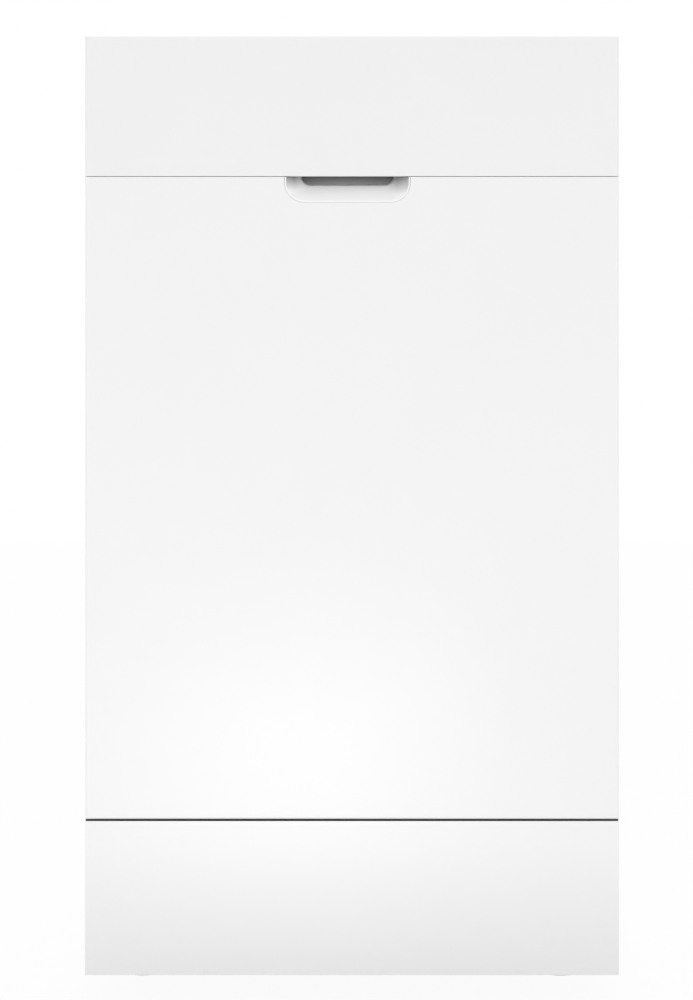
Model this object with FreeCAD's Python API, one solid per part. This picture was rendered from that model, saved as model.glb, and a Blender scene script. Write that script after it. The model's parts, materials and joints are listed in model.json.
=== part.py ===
"""Slimline built-under dishwasher, white front, drop-down door with a scooped pull.

Frame: +Z up, front faces -Y, origin on the floor under the middle of the overall box. Millimetres.
Each function returns one named piece, as one solid or a group of like solids.
"""
import FreeCAD
import Part
import math
import os

# Driving dimensions: the front seen from outside
WIDTH = 448.0
HEIGHT = 815.0
DEPTH = 573.0
FASCIA_HEIGHT = 117.75
FASCIA_SEAM = 0.5
PLINTH_GAP = 1.7
PLINTH_HEIGHT = 129.2
FLOOR_CLEARANCE = 27.0
FRONT_EDGE_RADIUS = 2.0

# Scooped pull under the fascia
PULL_X = -3.8
PULL_WIDTH = 106.0
PULL_HEIGHT = 21.5
PULL_CORNER = 16.5
PULL_DEPTH = 26.0
PULL_WALL = 2.0
PULL_SIDE_SLOPE = 14.0
PULL_FIT = 0.15
PULL_LIP_DEPTH = 14.0
PULL_LIP_DROP = 5.6
PULL_INNER_CORNER = 8.0
# Shares of the lip's depth and rise, from the rim to the crest: a straight slope that rounds off
PULL_LIP_SHAPE = ((0.0, 0.0), (0.54, 0.85), (0.66, 0.94), (0.80, 0.985), (1.0, 1.0))

# Sheet and moulding thicknesses
PANEL_SHEET = 1.0
TUB_SHEET = 1.0
FASCIA_WALL = 2.5
MOULDED_WALL = 3.0
RUNNING_GAP = 0.3

# Door and its hinge
DOOR_THICKNESS = 56.0
DOOR_RETURN = 40.0
DOOR_HEM = 9.0
HINGE_SETBACK = 38.0
HINGE_RISE = 40.0
HINGE_PIN_RADIUS = 4.0
HINGE_PIN_FIT = 0.05
HINGE_ARM_THICKNESS = 4.5
HINGE_ARM_LENGTH = 190.0
HINGE_ARM_WIDTH = 18.0
HINGE_PLATE_THICKNESS = 3.0
SPRING_LEVER = 45.0
SPRING_LENGTH = 280.0
SPRING_COIL_RADIUS = 3.6
SPRING_WIRE_RADIUS = 0.8
SPRING_TURNS = 24
CABINET_TO_DOOR = 4.5
DOOR_FOOT_RETURN = 5.0
DOOR_TOP_RETURN = 24.0
DOOR_SCREW_LENGTH = 8.0
DOOR_SCREW_INSET = 6.5
DOOR_SCREW_MARGIN = 16.0
FASCIA_HEM = 11.5
SPRING_INSET = 5.8
LINER_FOOT_DROP = 8.0
SPRING_REAR_Y = 32.0
STRIKE_HALF = 11.0
STRIKE_REACH = 12.0
STRIKE_THICKNESS = 2.5

# Tub and cabinet
TUB_SIDE_GAP = 19.0
TUB_TOP_GAP = 31.0
TUB_REAR_GAP = 22.0
TUB_CORNER = 24.0
TUB_RIB_PLACES = (0.32, 0.76)
AIR_TANK_LIFT = 110.0
AIR_TANK_DROP = 114.0
AIR_TANK_HALF = 110.0
AIR_TANK_CORNER = 18.0
TUB_FLANGE = 7.5
SEAL_THICKNESS = 4.2
TOP_DROP = 3.0
PAN_DEPTH = 28.0
PAN_MARGIN_SIDE = 38.0
PAN_MARGIN_FRONT = 51.0
PAN_MARGIN_REAR = 44.0
PAN_TAPER = 15.0
LIP_DROP = 10.0
TOP_FOLD = 12.0
HINGE_NOTCH_RISE = 6.0
BRACKET_INSET = 94.0
BRACKET_SHEET = 1.5
BRACKET_HOLE_RADIUS = 2.6
SEAL_STRIP_HEIGHT = 7.5
SCREW_RADIUS = 2.0
SCREW_HEAD_RADIUS = 4.2
SCREW_HEAD_HEIGHT = 2.2

# Base and feet
BASE_TOP = 130.0
BASE_FRONT_SETBACK = 101.5
BASE_REAR_SETBACK = 21.5
FOOT_PAD_RADIUS = 15.0
FOOT_PAD_HEIGHT = 8.0
FOOT_STUD_RADIUS = 5.0
FOOT_STUD_FIT = 0.05
FOOT_STUD_TOP = 96.0
FOOT_INSET_X = 36.0
FOOT_INSET_FRONT = 99.0
FOOT_INSET_REAR = 33.0
FOOT_BOSS_RADIUS = 13.0
FOOT_BOSS_HEIGHT = 35.0
COLUMN_DEPTH = 46.0
COLUMN_INSET = 13.0
REAR_COLUMN_Y = 178.0
PLINTH_ARM_INSET = 74.0
PLINTH_ARM_WIDTH = 26.0
PLINTH_ARM_HEIGHT = 60.0
PLINTH_SCREW_LENGTH = 12.0
PLINTH_BOTTOM_FLANGE = 36.0
INLET_INSET = 75.0
DRAIN_INSET = 73.0
MAINS_INSET = 163.0
INLET_Z = 88.0
INLET_HALF = 17.0
INLET_THREAD_RADIUS = 13.2
DRAIN_HALF = 14.0
DRAIN_SPIGOT = 10.0
SPIGOT_SETBACK = 1.0
MAINS_HALF = 16.0
MAINS_SOCKET_DEPTH = 24.0

# Washing system
SUMP_X = 55.0
SUMP_Y = -60.0
SUMP_RADIUS = 70.0
SUMP_DEPTH = 82.0
FILTER_RADIUS = 37.0
FILTER_HEIGHT = 66.0
SALT_INSET = 115.0
SALT_Y = -62.0
SALT_NECK_RADIUS = 29.0
HUB_Y = 35.0
HUB_RADIUS = 13.0
SPRAY_TIP_GAP = 36.0
SPRAY_WIDTH = 44.0
SPRAY_THICKNESS = 14.0
LOWER_SPRAY_LIFT = 10.0
DUCT_WIDTH = 52.0
DUCT_THICKNESS = 18.0
PUMP_Y = 120.0
PUMP_Z = 92.0
PUMP_RADIUS = 42.0
SUMP_WALL = 4.0
SUMP_STUB = 14.0
SUMP_PORT_RADIUS = 11.0
STRAINER_THICKNESS = 2.0
DUCT_SPIGOT_RADIUS = 7.5
DUCT_SPIGOT_DROP = 26.0
CEILING_DUCT = 10.0
DOCK_LENGTH = 5.0
DOCK_RADIUS = 14.0
MANIFOLD_DROP = 20.0
MANIFOLD_HALF = 9.0
SPRAY_PIN_RADIUS = 7.0
SPRAY_FIT = 0.1
SOFTENER_HALF = 62.0
PUMP_CASE_X = -20.0
PUMP_CAN_LENGTH = 110.0
PUMP_OUTLET_RISE = 62.0
IMPELLER_RADIUS = 34.0
IMPELLER_SHAFT = 5.0
DRAIN_HOSE_RADIUS = 10.0

# Racks
WIRE_RADIUS = 2.2
THIN_WIRE_RADIUS = 1.6
RACK_FRONT_GAP = 12.0
RACK_REAR = 228.0
LOWER_RACK_INSET = 25.0
LOWER_RACK_HEIGHT = 150.0
LOWER_RACK_LIFT = 39.0
WHEEL_RADIUS = 16.0
WHEEL_INSET = 14.0
WHEEL_WIDTH = 9.0
WHEEL_AXLE_RADIUS = 3.0
WHEEL_FRONT_SETBACK = 112.0
WHEEL_REAR_SETBACK = 70.0
UPPER_RACK_INSET = 27.0
UPPER_RACK_HEIGHT = 130.0
UPPER_RACK_LIFT = 286.0
RAIL_LIFT = 352.0
RAIL_HEIGHT = 26.0
RAIL_DEPTH = 13.0
RAIL_SHEET = 1.5
CROSS_WIRES = 7
LONG_WIRES = 6
TINE_COUNT = 9
TINE_HEIGHT = 62.0
RAIL_LIP = 4.5
WIRE_SINK = 0.04
FOLD_LEFT = -128.0
FOLD_RIGHT = 128.0
TINE_PITCH = 28.0
BASKET_X = (66.0, 158.0)
BASKET_Y = (-196.0, -62.0)
BASKET_HEIGHT = 118.0

# Controls on the top edge of the door
STRIP_THICKNESS = 3.0
BUTTON_INSET = 64.0
SECOND_BUTTON_INSET = 120.0
BUTTON_LENGTH = 26.0
BUTTON_DEPTH = 11.0
BUTTON_TRAVEL = 1.5
DISPLAY_INSET = 140.0
DISPLAY_LENGTH = 70.0
BOARD_INSET = 34.0
BOARD_POST_INSET = 44.0
BOARD_THICKNESS = 1.6
BUTTON_FLANGE = 1.5

# Dispenser on the inside of the door
DISPENSER_X = -18.0
DISPENSER_RISE = 282.1
DISPENSER_WIDTH = 168.0
DISPENSER_HEIGHT = 128.0
DISPENSER_DEPTH = 34.0
LID_WIDTH = 76.0
LID_HEIGHT = 56.0
LID_THICKNESS = 3.0
RINSE_CAP_RADIUS = 19.0
CAP_SEAT = 6.0
CAP_PLUG_RADIUS = 9.0

# Places worked out from the driving dimensions
FRONT = -DEPTH / 2
REAR = DEPTH / 2
HALF = WIDTH / 2
PLINTH_TOP = FLOOR_CLEARANCE + PLINTH_HEIGHT
DOOR_BOTTOM = PLINTH_TOP + PLINTH_GAP
FASCIA_BOTTOM = HEIGHT - FASCIA_HEIGHT
DOOR_TOP = FASCIA_BOTTOM - FASCIA_SEAM
HINGE_Y = FRONT + HINGE_SETBACK
HINGE_Z = DOOR_BOTTOM + HINGE_RISE
LINER_Y = FRONT + DOOR_THICKNESS
MOUTH_Y = LINER_Y + SEAL_THICKNESS + RUNNING_GAP
RETURN_Y = FRONT + DOOR_RETURN
CABINET_FRONT = RETURN_Y + CABINET_TO_DOOR
SHELL_X = HALF - PANEL_SHEET
TUB_X = SHELL_X - TUB_SIDE_GAP
TUB_IN_X = TUB_X - TUB_SHEET
CABINET_TOP = HEIGHT - TOP_DROP
TUB_TOP = CABINET_TOP - PANEL_SHEET - TUB_TOP_GAP
TUB_REAR = REAR - PANEL_SHEET - TUB_REAR_GAP
FLANGE_X = TUB_X + TUB_FLANGE
FLANGE_TOP = TUB_TOP + TUB_FLANGE
LEDGE_Z = HINGE_Z + DOOR_THICKNESS - HINGE_SETBACK
PAN_Z = LEDGE_Z - PAN_DEPTH
BASE_FRONT = FRONT + BASE_FRONT_SETBACK
BASE_REAR = REAR - BASE_REAR_SETBACK
HINGE_SWEEP = math.hypot(HINGE_SETBACK, HINGE_RISE)
RACK_FRONT = LINER_Y + RACK_FRONT_GAP
LOWER_RACK_Z = LEDGE_Z + LOWER_RACK_LIFT
UPPER_RACK_Z = LEDGE_Z + UPPER_RACK_LIFT
RAIL_Z = LEDGE_Z + RAIL_LIFT
DOOR_SCREW_X = HALF - DOOR_SCREW_INSET
FASCIA_HEM_X = HALF - FASCIA_HEM
SPRING_X = SHELL_X - SPRING_INSET
COLUMN_IN_X = TUB_IN_X - COLUMN_INSET
PLINTH_ARM_X = HALF - PLINTH_ARM_INSET
BRACKET_X = HALF - BRACKET_INSET
LOWER_RACK_HALF_WIDTH = TUB_IN_X - LOWER_RACK_INSET
UPPER_RACK_HALF_WIDTH = TUB_IN_X - UPPER_RACK_INSET
WHEEL_X = TUB_IN_X - WHEEL_INSET
SPRAY_RADIUS = TUB_IN_X - SPRAY_TIP_GAP
INLET_X = -SHELL_X + INLET_INSET
SALT_X = -SHELL_X + SALT_INSET
DRAIN_X = SHELL_X - DRAIN_INSET
MAINS_X = SHELL_X - MAINS_INSET
DISPENSER_Z = HINGE_Z + DISPENSER_RISE
BUTTON_X = {
    "power_button": -HALF + BUTTON_INSET,
    "program_button": -HALF + SECOND_BUTTON_INSET,
    "start_button": HALF - BUTTON_INSET,
}
DISPLAY_X = HALF - DISPLAY_INSET
PLINTH_SCREW_Y = FRONT + 22.0
PLINTH_RETURN_TOP = HINGE_Z - HINGE_SWEEP - 3.0
HINGE_PLATE_X = TUB_X + 9.0
BRACKET_Y = MOUTH_Y + 11.0
DUCT_Y = TUB_REAR - DUCT_THICKNESS / 2
SEAL_FOOT_Z = LEDGE_Z - LIP_DROP + 2.5
RAIL_FRONT = MOUTH_Y + 20.0
RAIL_REAR = TUB_REAR - 12.0
SUMP_PORT_Z = PAN_Z - SUMP_DEPTH + 22.0
MANIFOLD_Z = UPPER_RACK_Z - MANIFOLD_DROP
LOWER_SPRAY_Z = LEDGE_Z + LOWER_SPRAY_LIFT
UPPER_SPRAY_Z = MANIFOLD_Z - MANIFOLD_HALF - SPRAY_THICKNESS - 6.0
SPRING_FRONT_Y = HINGE_Y - 3.5
PULL_LOW = DOOR_TOP - PULL_HEIGHT
PULL_HOOD_TOP = FASCIA_BOTTOM + 16.0
LINER_FLANGE_Z = HINGE_Z + 62.0
LINER_TOP = HEIGHT - 9.0
LOWEST_SCREW = HINGE_Z + HINGE_ARM_LENGTH + DOOR_SCREW_MARGIN
HIGHEST_PANEL_SCREW = DOOR_TOP - DOOR_SCREW_MARGIN
DOOR_SCREW_Z = (
    LOWEST_SCREW,
    (LOWEST_SCREW + HIGHEST_PANEL_SCREW) / 2,
    HIGHEST_PANEL_SCREW,
    FASCIA_BOTTOM + FASCIA_WALL + 2 * SCREW_HEAD_RADIUS + DOOR_SCREW_MARGIN,
    LINER_TOP - DOOR_SCREW_MARGIN,
)
CONTROL_Y = FRONT + 18.5
BOARD_TOP = HEIGHT - 14.4
DISPENSER_FACE = LINER_Y + 1.0
LID_X = DISPENSER_X - 36.0
LID_Z = DISPENSER_Z + 30.0
LID_FACE = DISPENSER_FACE + RUNNING_GAP + LID_THICKNESS
CAP_X = DISPENSER_X + 46.0
CAP_Z = DISPENSER_Z + 6.0
AXLE_Z = LEDGE_Z + WHEEL_RADIUS
FOLD_Z = LOWER_RACK_Z + 11.0

X_AXIS = FreeCAD.Vector(1, 0, 0)
Y_AXIS = FreeCAD.Vector(0, 1, 0)
Z_AXIS = FreeCAD.Vector(0, 0, 1)


def vec(x, y, z):
    return FreeCAD.Vector(x, y, z)


def block(x0, x1, y0, y1, z0, z1):
    """A box between two corners, given in any order."""
    low = vec(min(x0, x1), min(y0, y1), min(z0, z1))
    return Part.makeBox(abs(x1 - x0), abs(y1 - y0), abs(z1 - z0), low)


def rod(start, end, radius):
    """A round bar between two points."""
    along = end - start
    return Part.makeCylinder(radius, along.Length, start, along)


def rounded_block(x0, x1, y0, y1, z0, z1, radius, axis):
    """A box whose four edges along one axis are rounded."""
    body = block(x0, x1, y0, y1, z0, z1)
    chosen = [e for e in body.Edges if abs(e.tangentAt(e.FirstParameter).dot(axis)) > 0.99]
    return body.makeFillet(radius, chosen)


def union(shapes):
    joined = shapes[0].multiFuse(shapes[1:])
    return joined.removeSplitter()


def mirrored(shape):
    """The same shape on the other side of the middle plane."""
    return shape.mirror(vec(0, 0, 0), X_AXIS)


def both_sides(shape):
    return Part.makeCompound([shape, mirrored(shape)])


def outline_prism(points, axis, length):
    """A prism swept along an axis from a closed outline of straight edges."""
    wire = Part.makePolygon(points + points[:1])
    return Part.Face(wire).extrude(axis * length)


# Cabinet


def base_tray():
    """Moulded tray that stands on the feet and carries the tub, the pumps and the hinge plates."""
    floor_z = FLOOR_CLEARANCE
    outer = block(-SHELL_X, SHELL_X, BASE_FRONT, BASE_REAR, floor_z, BASE_TOP)
    inner = block(
        -SHELL_X + MOULDED_WALL, SHELL_X - MOULDED_WALL,
        BASE_FRONT + MOULDED_WALL, BASE_REAR - MOULDED_WALL,
        floor_z + MOULDED_WALL, BASE_TOP,
    )
    tray = outer.cut(inner)
    added = []
    cuts = []
    for x, y in foot_places():
        added.append(rod(vec(x, y, floor_z), vec(x, y, floor_z + FOOT_BOSS_HEIGHT), FOOT_BOSS_RADIUS))
        stud_hole = FOOT_STUD_RADIUS + FOOT_STUD_FIT
        cuts.append(rod(vec(x, y, 0), vec(x, y, BASE_TOP), stud_hole))
    for side in (-1, 1):
        for column_y in (BASE_FRONT, REAR_COLUMN_Y):
            added.append(block(
                side * COLUMN_IN_X, side * HINGE_PLATE_X, column_y, column_y + COLUMN_DEPTH,
                floor_z, LEDGE_Z - TUB_SHEET,
            ))
        added.append(block(
            side * (HINGE_PLATE_X - 1), side * SHELL_X, BASE_FRONT, BASE_FRONT + MOULDED_WALL,
            BASE_TOP - 1, DOOR_BOTTOM,
        ))
        added.append(block(
            side * (PLINTH_ARM_X - PLINTH_ARM_WIDTH / 2), side * (PLINTH_ARM_X + PLINTH_ARM_WIDTH / 2),
            FRONT + PANEL_SHEET, BASE_FRONT, floor_z + PANEL_SHEET, floor_z + PLINTH_ARM_HEIGHT,
        ))
        cuts.append(rod(
            vec(side * PLINTH_ARM_X, PLINTH_SCREW_Y, 0),
            vec(side * PLINTH_ARM_X, PLINTH_SCREW_Y, floor_z + PLINTH_SCREW_LENGTH), SCREW_RADIUS,
        ))
    for x0, x1, z0, z1 in rear_openings():
        cuts.append(block(x0, x1, BASE_REAR - 2 * MOULDED_WALL, BASE_REAR + MOULDED_WALL, z0, z1))
    tray = union([tray] + added)
    return tray.cut(Part.makeCompound(cuts))


def foot_places():
    x = SHELL_X - FOOT_INSET_X
    return [
        (-x, BASE_FRONT + FOOT_INSET_FRONT), (x, BASE_FRONT + FOOT_INSET_FRONT),
        (-x, BASE_REAR - FOOT_INSET_REAR), (x, BASE_REAR - FOOT_INSET_REAR),
    ]


def foot(x, y):
    """Levelling foot: round pad, hexagon for a spanner and a stud that screws into the base."""
    pad = rod(vec(x, y, 0), vec(x, y, FOOT_PAD_HEIGHT), FOOT_PAD_RADIUS)
    pad = pad.makeChamfer(
        1.2, [e for e in pad.Edges if abs(e.Length - 2 * math.pi * FOOT_PAD_RADIUS) < 0.1],
    )
    hexagon_radius = FOOT_STUD_RADIUS * 2.2
    corners = [
        vec(x + hexagon_radius * math.cos(
            math.radians(60 * i),
        ), y + hexagon_radius * math.sin(math.radians(60 * i)),
            FOOT_PAD_HEIGHT)
        for i in range(6)
    ]
    hexagon = outline_prism(corners, Z_AXIS, FLOOR_CLEARANCE - FOOT_PAD_HEIGHT - RUNNING_GAP)
    stud = rod(vec(x, y, FOOT_PAD_HEIGHT), vec(x, y, FOOT_STUD_TOP), FOOT_STUD_RADIUS)
    return union([pad, hexagon, stud])


def side_panel(side):
    """Painted side sheet with a folded front edge, cut away where the foot of the door swings."""
    notch_top = HINGE_Z + HINGE_NOTCH_RISE
    notch_rear = BASE_FRONT
    sheet = block(side * SHELL_X, side * HALF, CABINET_FRONT, REAR, FLOOR_CLEARANCE, CABINET_TOP)
    notch = block(side * (SHELL_X - 1), side * (HALF + 1), CABINET_FRONT - 1, notch_rear, 0, notch_top)
    sheet = sheet.cut(notch)
    top_fold = block(
        side * SHELL_X, side * (SHELL_X - TOP_FOLD), MOUTH_Y + TUB_SHEET, REAR - PANEL_SHEET,
        CABINET_TOP - 2 * PANEL_SHEET, CABINET_TOP - PANEL_SHEET,
    )
    return union([sheet, top_fold])


def top_cover():
    """Steel sheet over the cabinet with a front apron down to the mouth of the tub."""
    sheet = block(-SHELL_X, SHELL_X, MOUTH_Y, REAR, CABINET_TOP - PANEL_SHEET, CABINET_TOP)
    apron = block(
        -FLANGE_X, FLANGE_X, MOUTH_Y, MOUTH_Y + PANEL_SHEET, FLANGE_TOP, CABINET_TOP - PANEL_SHEET,
    )
    holes = [
        rod(vec(x, BRACKET_Y, 0), vec(x, BRACKET_Y, HEIGHT), BRACKET_HOLE_RADIUS + 2.4)
        for x in (-BRACKET_X, BRACKET_X)
    ]
    rib_depth = 6.0
    ribs = [
        block(
            x - 1, x + 1, MOUTH_Y + 30, REAR - 30, CABINET_TOP - PANEL_SHEET - rib_depth,
            CABINET_TOP - PANEL_SHEET,
        )
        for x in (-SHELL_X / 2, 0, SHELL_X / 2)
    ]
    return union([sheet, apron] + ribs).cut(Part.makeCompound(holes))


def rear_panel():
    """Zinc-plated back sheet with pressed ribs, above the hose recess."""
    sheet = block(-SHELL_X, SHELL_X, REAR - PANEL_SHEET, REAR, BASE_TOP, CABINET_TOP - PANEL_SHEET)
    rib_width = 14.0
    rib_depth = 4.0
    rib_x = SHELL_X - 40.0
    rib_pitch = (CABINET_TOP - BASE_TOP) / 6
    ribs = []
    grooves = []
    for i in range(1, 6):
        middle = BASE_TOP + rib_pitch * i
        half = rib_width / 2
        ribs.append(block(
            -rib_x, rib_x, REAR - PANEL_SHEET - rib_depth, REAR - PANEL_SHEET, middle - half, middle + half,
        ))
        half -= PANEL_SHEET
        grooves.append(block(
            PANEL_SHEET - rib_x, rib_x - PANEL_SHEET, REAR - rib_depth, REAR + PANEL_SHEET,
            middle - half, middle + half,
        ))
    return union([sheet] + ribs).cut(Part.makeCompound(grooves))


def worktop_brackets():
    """Two angle tabs on the top cover, each with a hole for a screw up into a worktop."""
    wide = 24.0
    reach = 22.0
    tab = block(
        BRACKET_X - wide / 2, BRACKET_X + wide / 2, MOUTH_Y, MOUTH_Y + reach,
        CABINET_TOP, CABINET_TOP + BRACKET_SHEET,
    )
    hole = rod(
        vec(BRACKET_X, BRACKET_Y, CABINET_TOP - 20), vec(BRACKET_X, BRACKET_Y, HEIGHT),
        BRACKET_HOLE_RADIUS,
    )
    return both_sides(tab.cut(hole))


def plinth_panel():
    """Kick plate: front sheet in line with the door, with side returns and a screwed bottom flange."""
    front = block(-HALF, HALF, FRONT, FRONT + PANEL_SHEET, FLOOR_CLEARANCE, PLINTH_TOP)
    bottom = block(
        -HALF, HALF, FRONT, FRONT + PLINTH_BOTTOM_FLANGE, FLOOR_CLEARANCE,
        FLOOR_CLEARANCE + PANEL_SHEET,
    )
    sides = [
        block(
            side * SHELL_X, side * HALF, FRONT, BASE_FRONT - RUNNING_GAP, FLOOR_CLEARANCE,
            PLINTH_RETURN_TOP,
        )
        for side in (-1, 1)
    ]
    holes = [
        rod(vec(side * PLINTH_ARM_X, PLINTH_SCREW_Y, 0), vec(
            side * PLINTH_ARM_X, PLINTH_SCREW_Y, PLINTH_TOP,
        ),
            SCREW_RADIUS)
        for side in (-1, 1)
    ]
    return union([front, bottom] + sides).cut(Part.makeCompound(holes))


def plinth_screws():
    """Two pan-head screws that hold the kick plate up to the base."""
    x = PLINTH_ARM_X
    head = rod(
        vec(
            x, PLINTH_SCREW_Y, FLOOR_CLEARANCE - SCREW_HEAD_HEIGHT,
        ), vec(x, PLINTH_SCREW_Y, FLOOR_CLEARANCE),
        SCREW_HEAD_RADIUS,
    )
    shank = rod(
        vec(x, PLINTH_SCREW_Y, FLOOR_CLEARANCE), vec(
            x, PLINTH_SCREW_Y, FLOOR_CLEARANCE + PLINTH_SCREW_LENGTH,
        ),
        SCREW_RADIUS,
    )
    return both_sides(union([head, shank]))


def rear_openings():
    """Windows in the base's back wall for water, drain and mains, each as x0, x1, z0, z1."""
    return [
        (INLET_X - INLET_HALF, INLET_X + INLET_HALF, INLET_Z - INLET_HALF, INLET_Z + INLET_HALF),
        (DRAIN_X - DRAIN_HALF, DRAIN_X + DRAIN_HALF, INLET_Z - DRAIN_HALF, INLET_Z + DRAIN_HALF),
        (MAINS_X - MAINS_HALF, MAINS_X + MAINS_HALF, INLET_Z - MAINS_HALF, INLET_Z + MAINS_HALF),
    ]


# Tub


def tub_envelope(half_width, top, front, rear):
    """Solid with the tub's rounded top corners, from the ledge up."""
    body = block(-half_width, half_width, front, rear, LEDGE_Z - TUB_SHEET, top)
    corners = [
        e for e in body.Edges
        if abs(e.tangentAt(e.FirstParameter).dot(Y_AXIS)) > 0.99 and e.CenterOfMass.z > top - 1
    ]
    return body.makeFillet(TUB_CORNER - (TUB_X - half_width), corners)


def tub_shell():
    """Stainless wrap: both side walls and the ceiling in one bent sheet, with a flange round the mouth."""
    outer = tub_envelope(TUB_X, TUB_TOP, MOUTH_Y, TUB_REAR)
    flange = block(
        -FLANGE_X, FLANGE_X, MOUTH_Y, MOUTH_Y + TUB_SHEET, LEDGE_Z - TUB_SHEET, FLANGE_TOP,
    )
    inner = tub_envelope(TUB_IN_X, TUB_TOP - TUB_SHEET, MOUTH_Y - 1, TUB_REAR + 1)
    return union([outer, flange]).cut(inner)


def tub_rear_wall():
    """Stainless back sheet of the tub, with two pressed stiffening ribs."""
    sheet = tub_envelope(TUB_X, TUB_TOP, TUB_REAR, TUB_REAR + TUB_SHEET)
    rib = 3.0
    half = TUB_X - 50
    ribs = [
        rounded_block(
            -half, half, TUB_REAR + TUB_SHEET, TUB_REAR + TUB_SHEET + rib, z - 10, z + 10, 8, Y_AXIS,
        )
        for z in (LEDGE_Z + share * (TUB_TOP - LEDGE_Z) for share in TUB_RIB_PLACES)
    ]
    return union([sheet] + ribs)


def pan_frustum(grow):
    """The tapered well of the tub floor, grown by a wall."""
    half = TUB_IN_X - PAN_MARGIN_SIDE + grow
    front = MOUTH_Y + PAN_MARGIN_FRONT - grow
    rear = TUB_REAR - PAN_MARGIN_REAR + grow
    wires = []
    for taper, z in ((0, LEDGE_Z), (PAN_TAPER, PAN_Z - grow)):
        corners = [
            vec(-half + taper, front + taper, z), vec(half - taper, front + taper, z),
            vec(half - taper, rear - taper, z), vec(-half + taper, rear - taper, z),
        ]
        wires.append(Part.makePolygon(corners + corners[:1]))
    return Part.makeLoft(wires, True, True)


def tub_floor():
    """Floor pressing: wheel ledges at both sides, a front lip and a tapered well with its openings."""
    plate = block(-TUB_IN_X, TUB_IN_X, MOUTH_Y, TUB_REAR, LEDGE_Z - TUB_SHEET, LEDGE_Z)
    lip = block(-TUB_IN_X, TUB_IN_X, MOUTH_Y, MOUTH_Y + TUB_SHEET, LEDGE_Z - LIP_DROP, LEDGE_Z)
    floor = union([plate, lip, pan_frustum(TUB_SHEET)]).cut(pan_frustum(0))
    holes = [
        rod(vec(SUMP_X, SUMP_Y, PAN_Z - 10), vec(SUMP_X, SUMP_Y, PAN_Z + 10), SUMP_RADIUS - SUMP_WALL),
        rod(
            vec(SALT_X, SALT_Y, PAN_Z - 10), vec(SALT_X, SALT_Y, PAN_Z + 10),
            SALT_NECK_RADIUS + RUNNING_GAP,
        ),
        rod(vec(0, HUB_Y, PAN_Z - 10), vec(0, HUB_Y, PAN_Z + 10), HUB_RADIUS - 3),
        rod(vec(0, DUCT_Y, LEDGE_Z - 10), vec(0, DUCT_Y, LEDGE_Z + 10), DUCT_SPIGOT_RADIUS + RUNNING_GAP),
    ]
    return floor.cut(Part.makeCompound(holes))


def door_seal():
    """Rubber seal on the tub flange in four strips: both sides, the top and a lower lip."""
    front = MOUTH_Y - SEAL_THICKNESS
    seal_in = TUB_IN_X + TUB_SHEET / 2
    seal_under = TUB_TOP - TUB_SHEET / 2
    side = block(seal_in, FLANGE_X, front, MOUTH_Y, SEAL_FOOT_Z, seal_under)
    top = block(-FLANGE_X, FLANGE_X, front, MOUTH_Y, seal_under, FLANGE_TOP)
    lip = block(-seal_in, seal_in, front, MOUTH_Y, SEAL_FOOT_Z, SEAL_FOOT_Z + SEAL_STRIP_HEIGHT)
    return Part.makeCompound([side, mirrored(side), top, lip])


def strike_plate():
    """Steel tongue on the tub flange that slides into the latch in the door."""
    root_plate = block(
        -STRIKE_HALF - 12, STRIKE_HALF + 12, MOUTH_Y - 1.5, MOUTH_Y, FLANGE_TOP, FLANGE_TOP + 16,
    )
    tongue = block(
        -STRIKE_HALF, STRIKE_HALF, LINER_Y - STRIKE_REACH, MOUTH_Y,
        FLANGE_TOP + 7, FLANGE_TOP + 7 + STRIKE_THICKNESS,
    )
    return union([root_plate, tongue])


def rack_rails():
    """Two C-section rails on the tub walls, open towards the rack, folded from flat strips."""
    outer_x = TUB_IN_X
    inner_x = TUB_IN_X - RAIL_DEPTH
    top = RAIL_Z + RAIL_HEIGHT
    strips = [
        block(outer_x - RAIL_SHEET, outer_x, RAIL_FRONT, RAIL_REAR, RAIL_Z, top),
        block(inner_x, outer_x - RAIL_SHEET, RAIL_FRONT, RAIL_REAR, RAIL_Z, RAIL_Z + RAIL_SHEET),
        block(inner_x, outer_x - RAIL_SHEET, RAIL_FRONT, RAIL_REAR, top - RAIL_SHEET, top),
    ]
    for z in (RAIL_Z + RAIL_SHEET, top - RAIL_SHEET - RAIL_LIP):
        strips.append(block(inner_x, inner_x + RAIL_SHEET, RAIL_FRONT, RAIL_REAR, z, z + RAIL_LIP))
    return Part.makeCompound(strips + [mirrored(strip) for strip in strips])


# Washing system under and behind the tub


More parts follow.
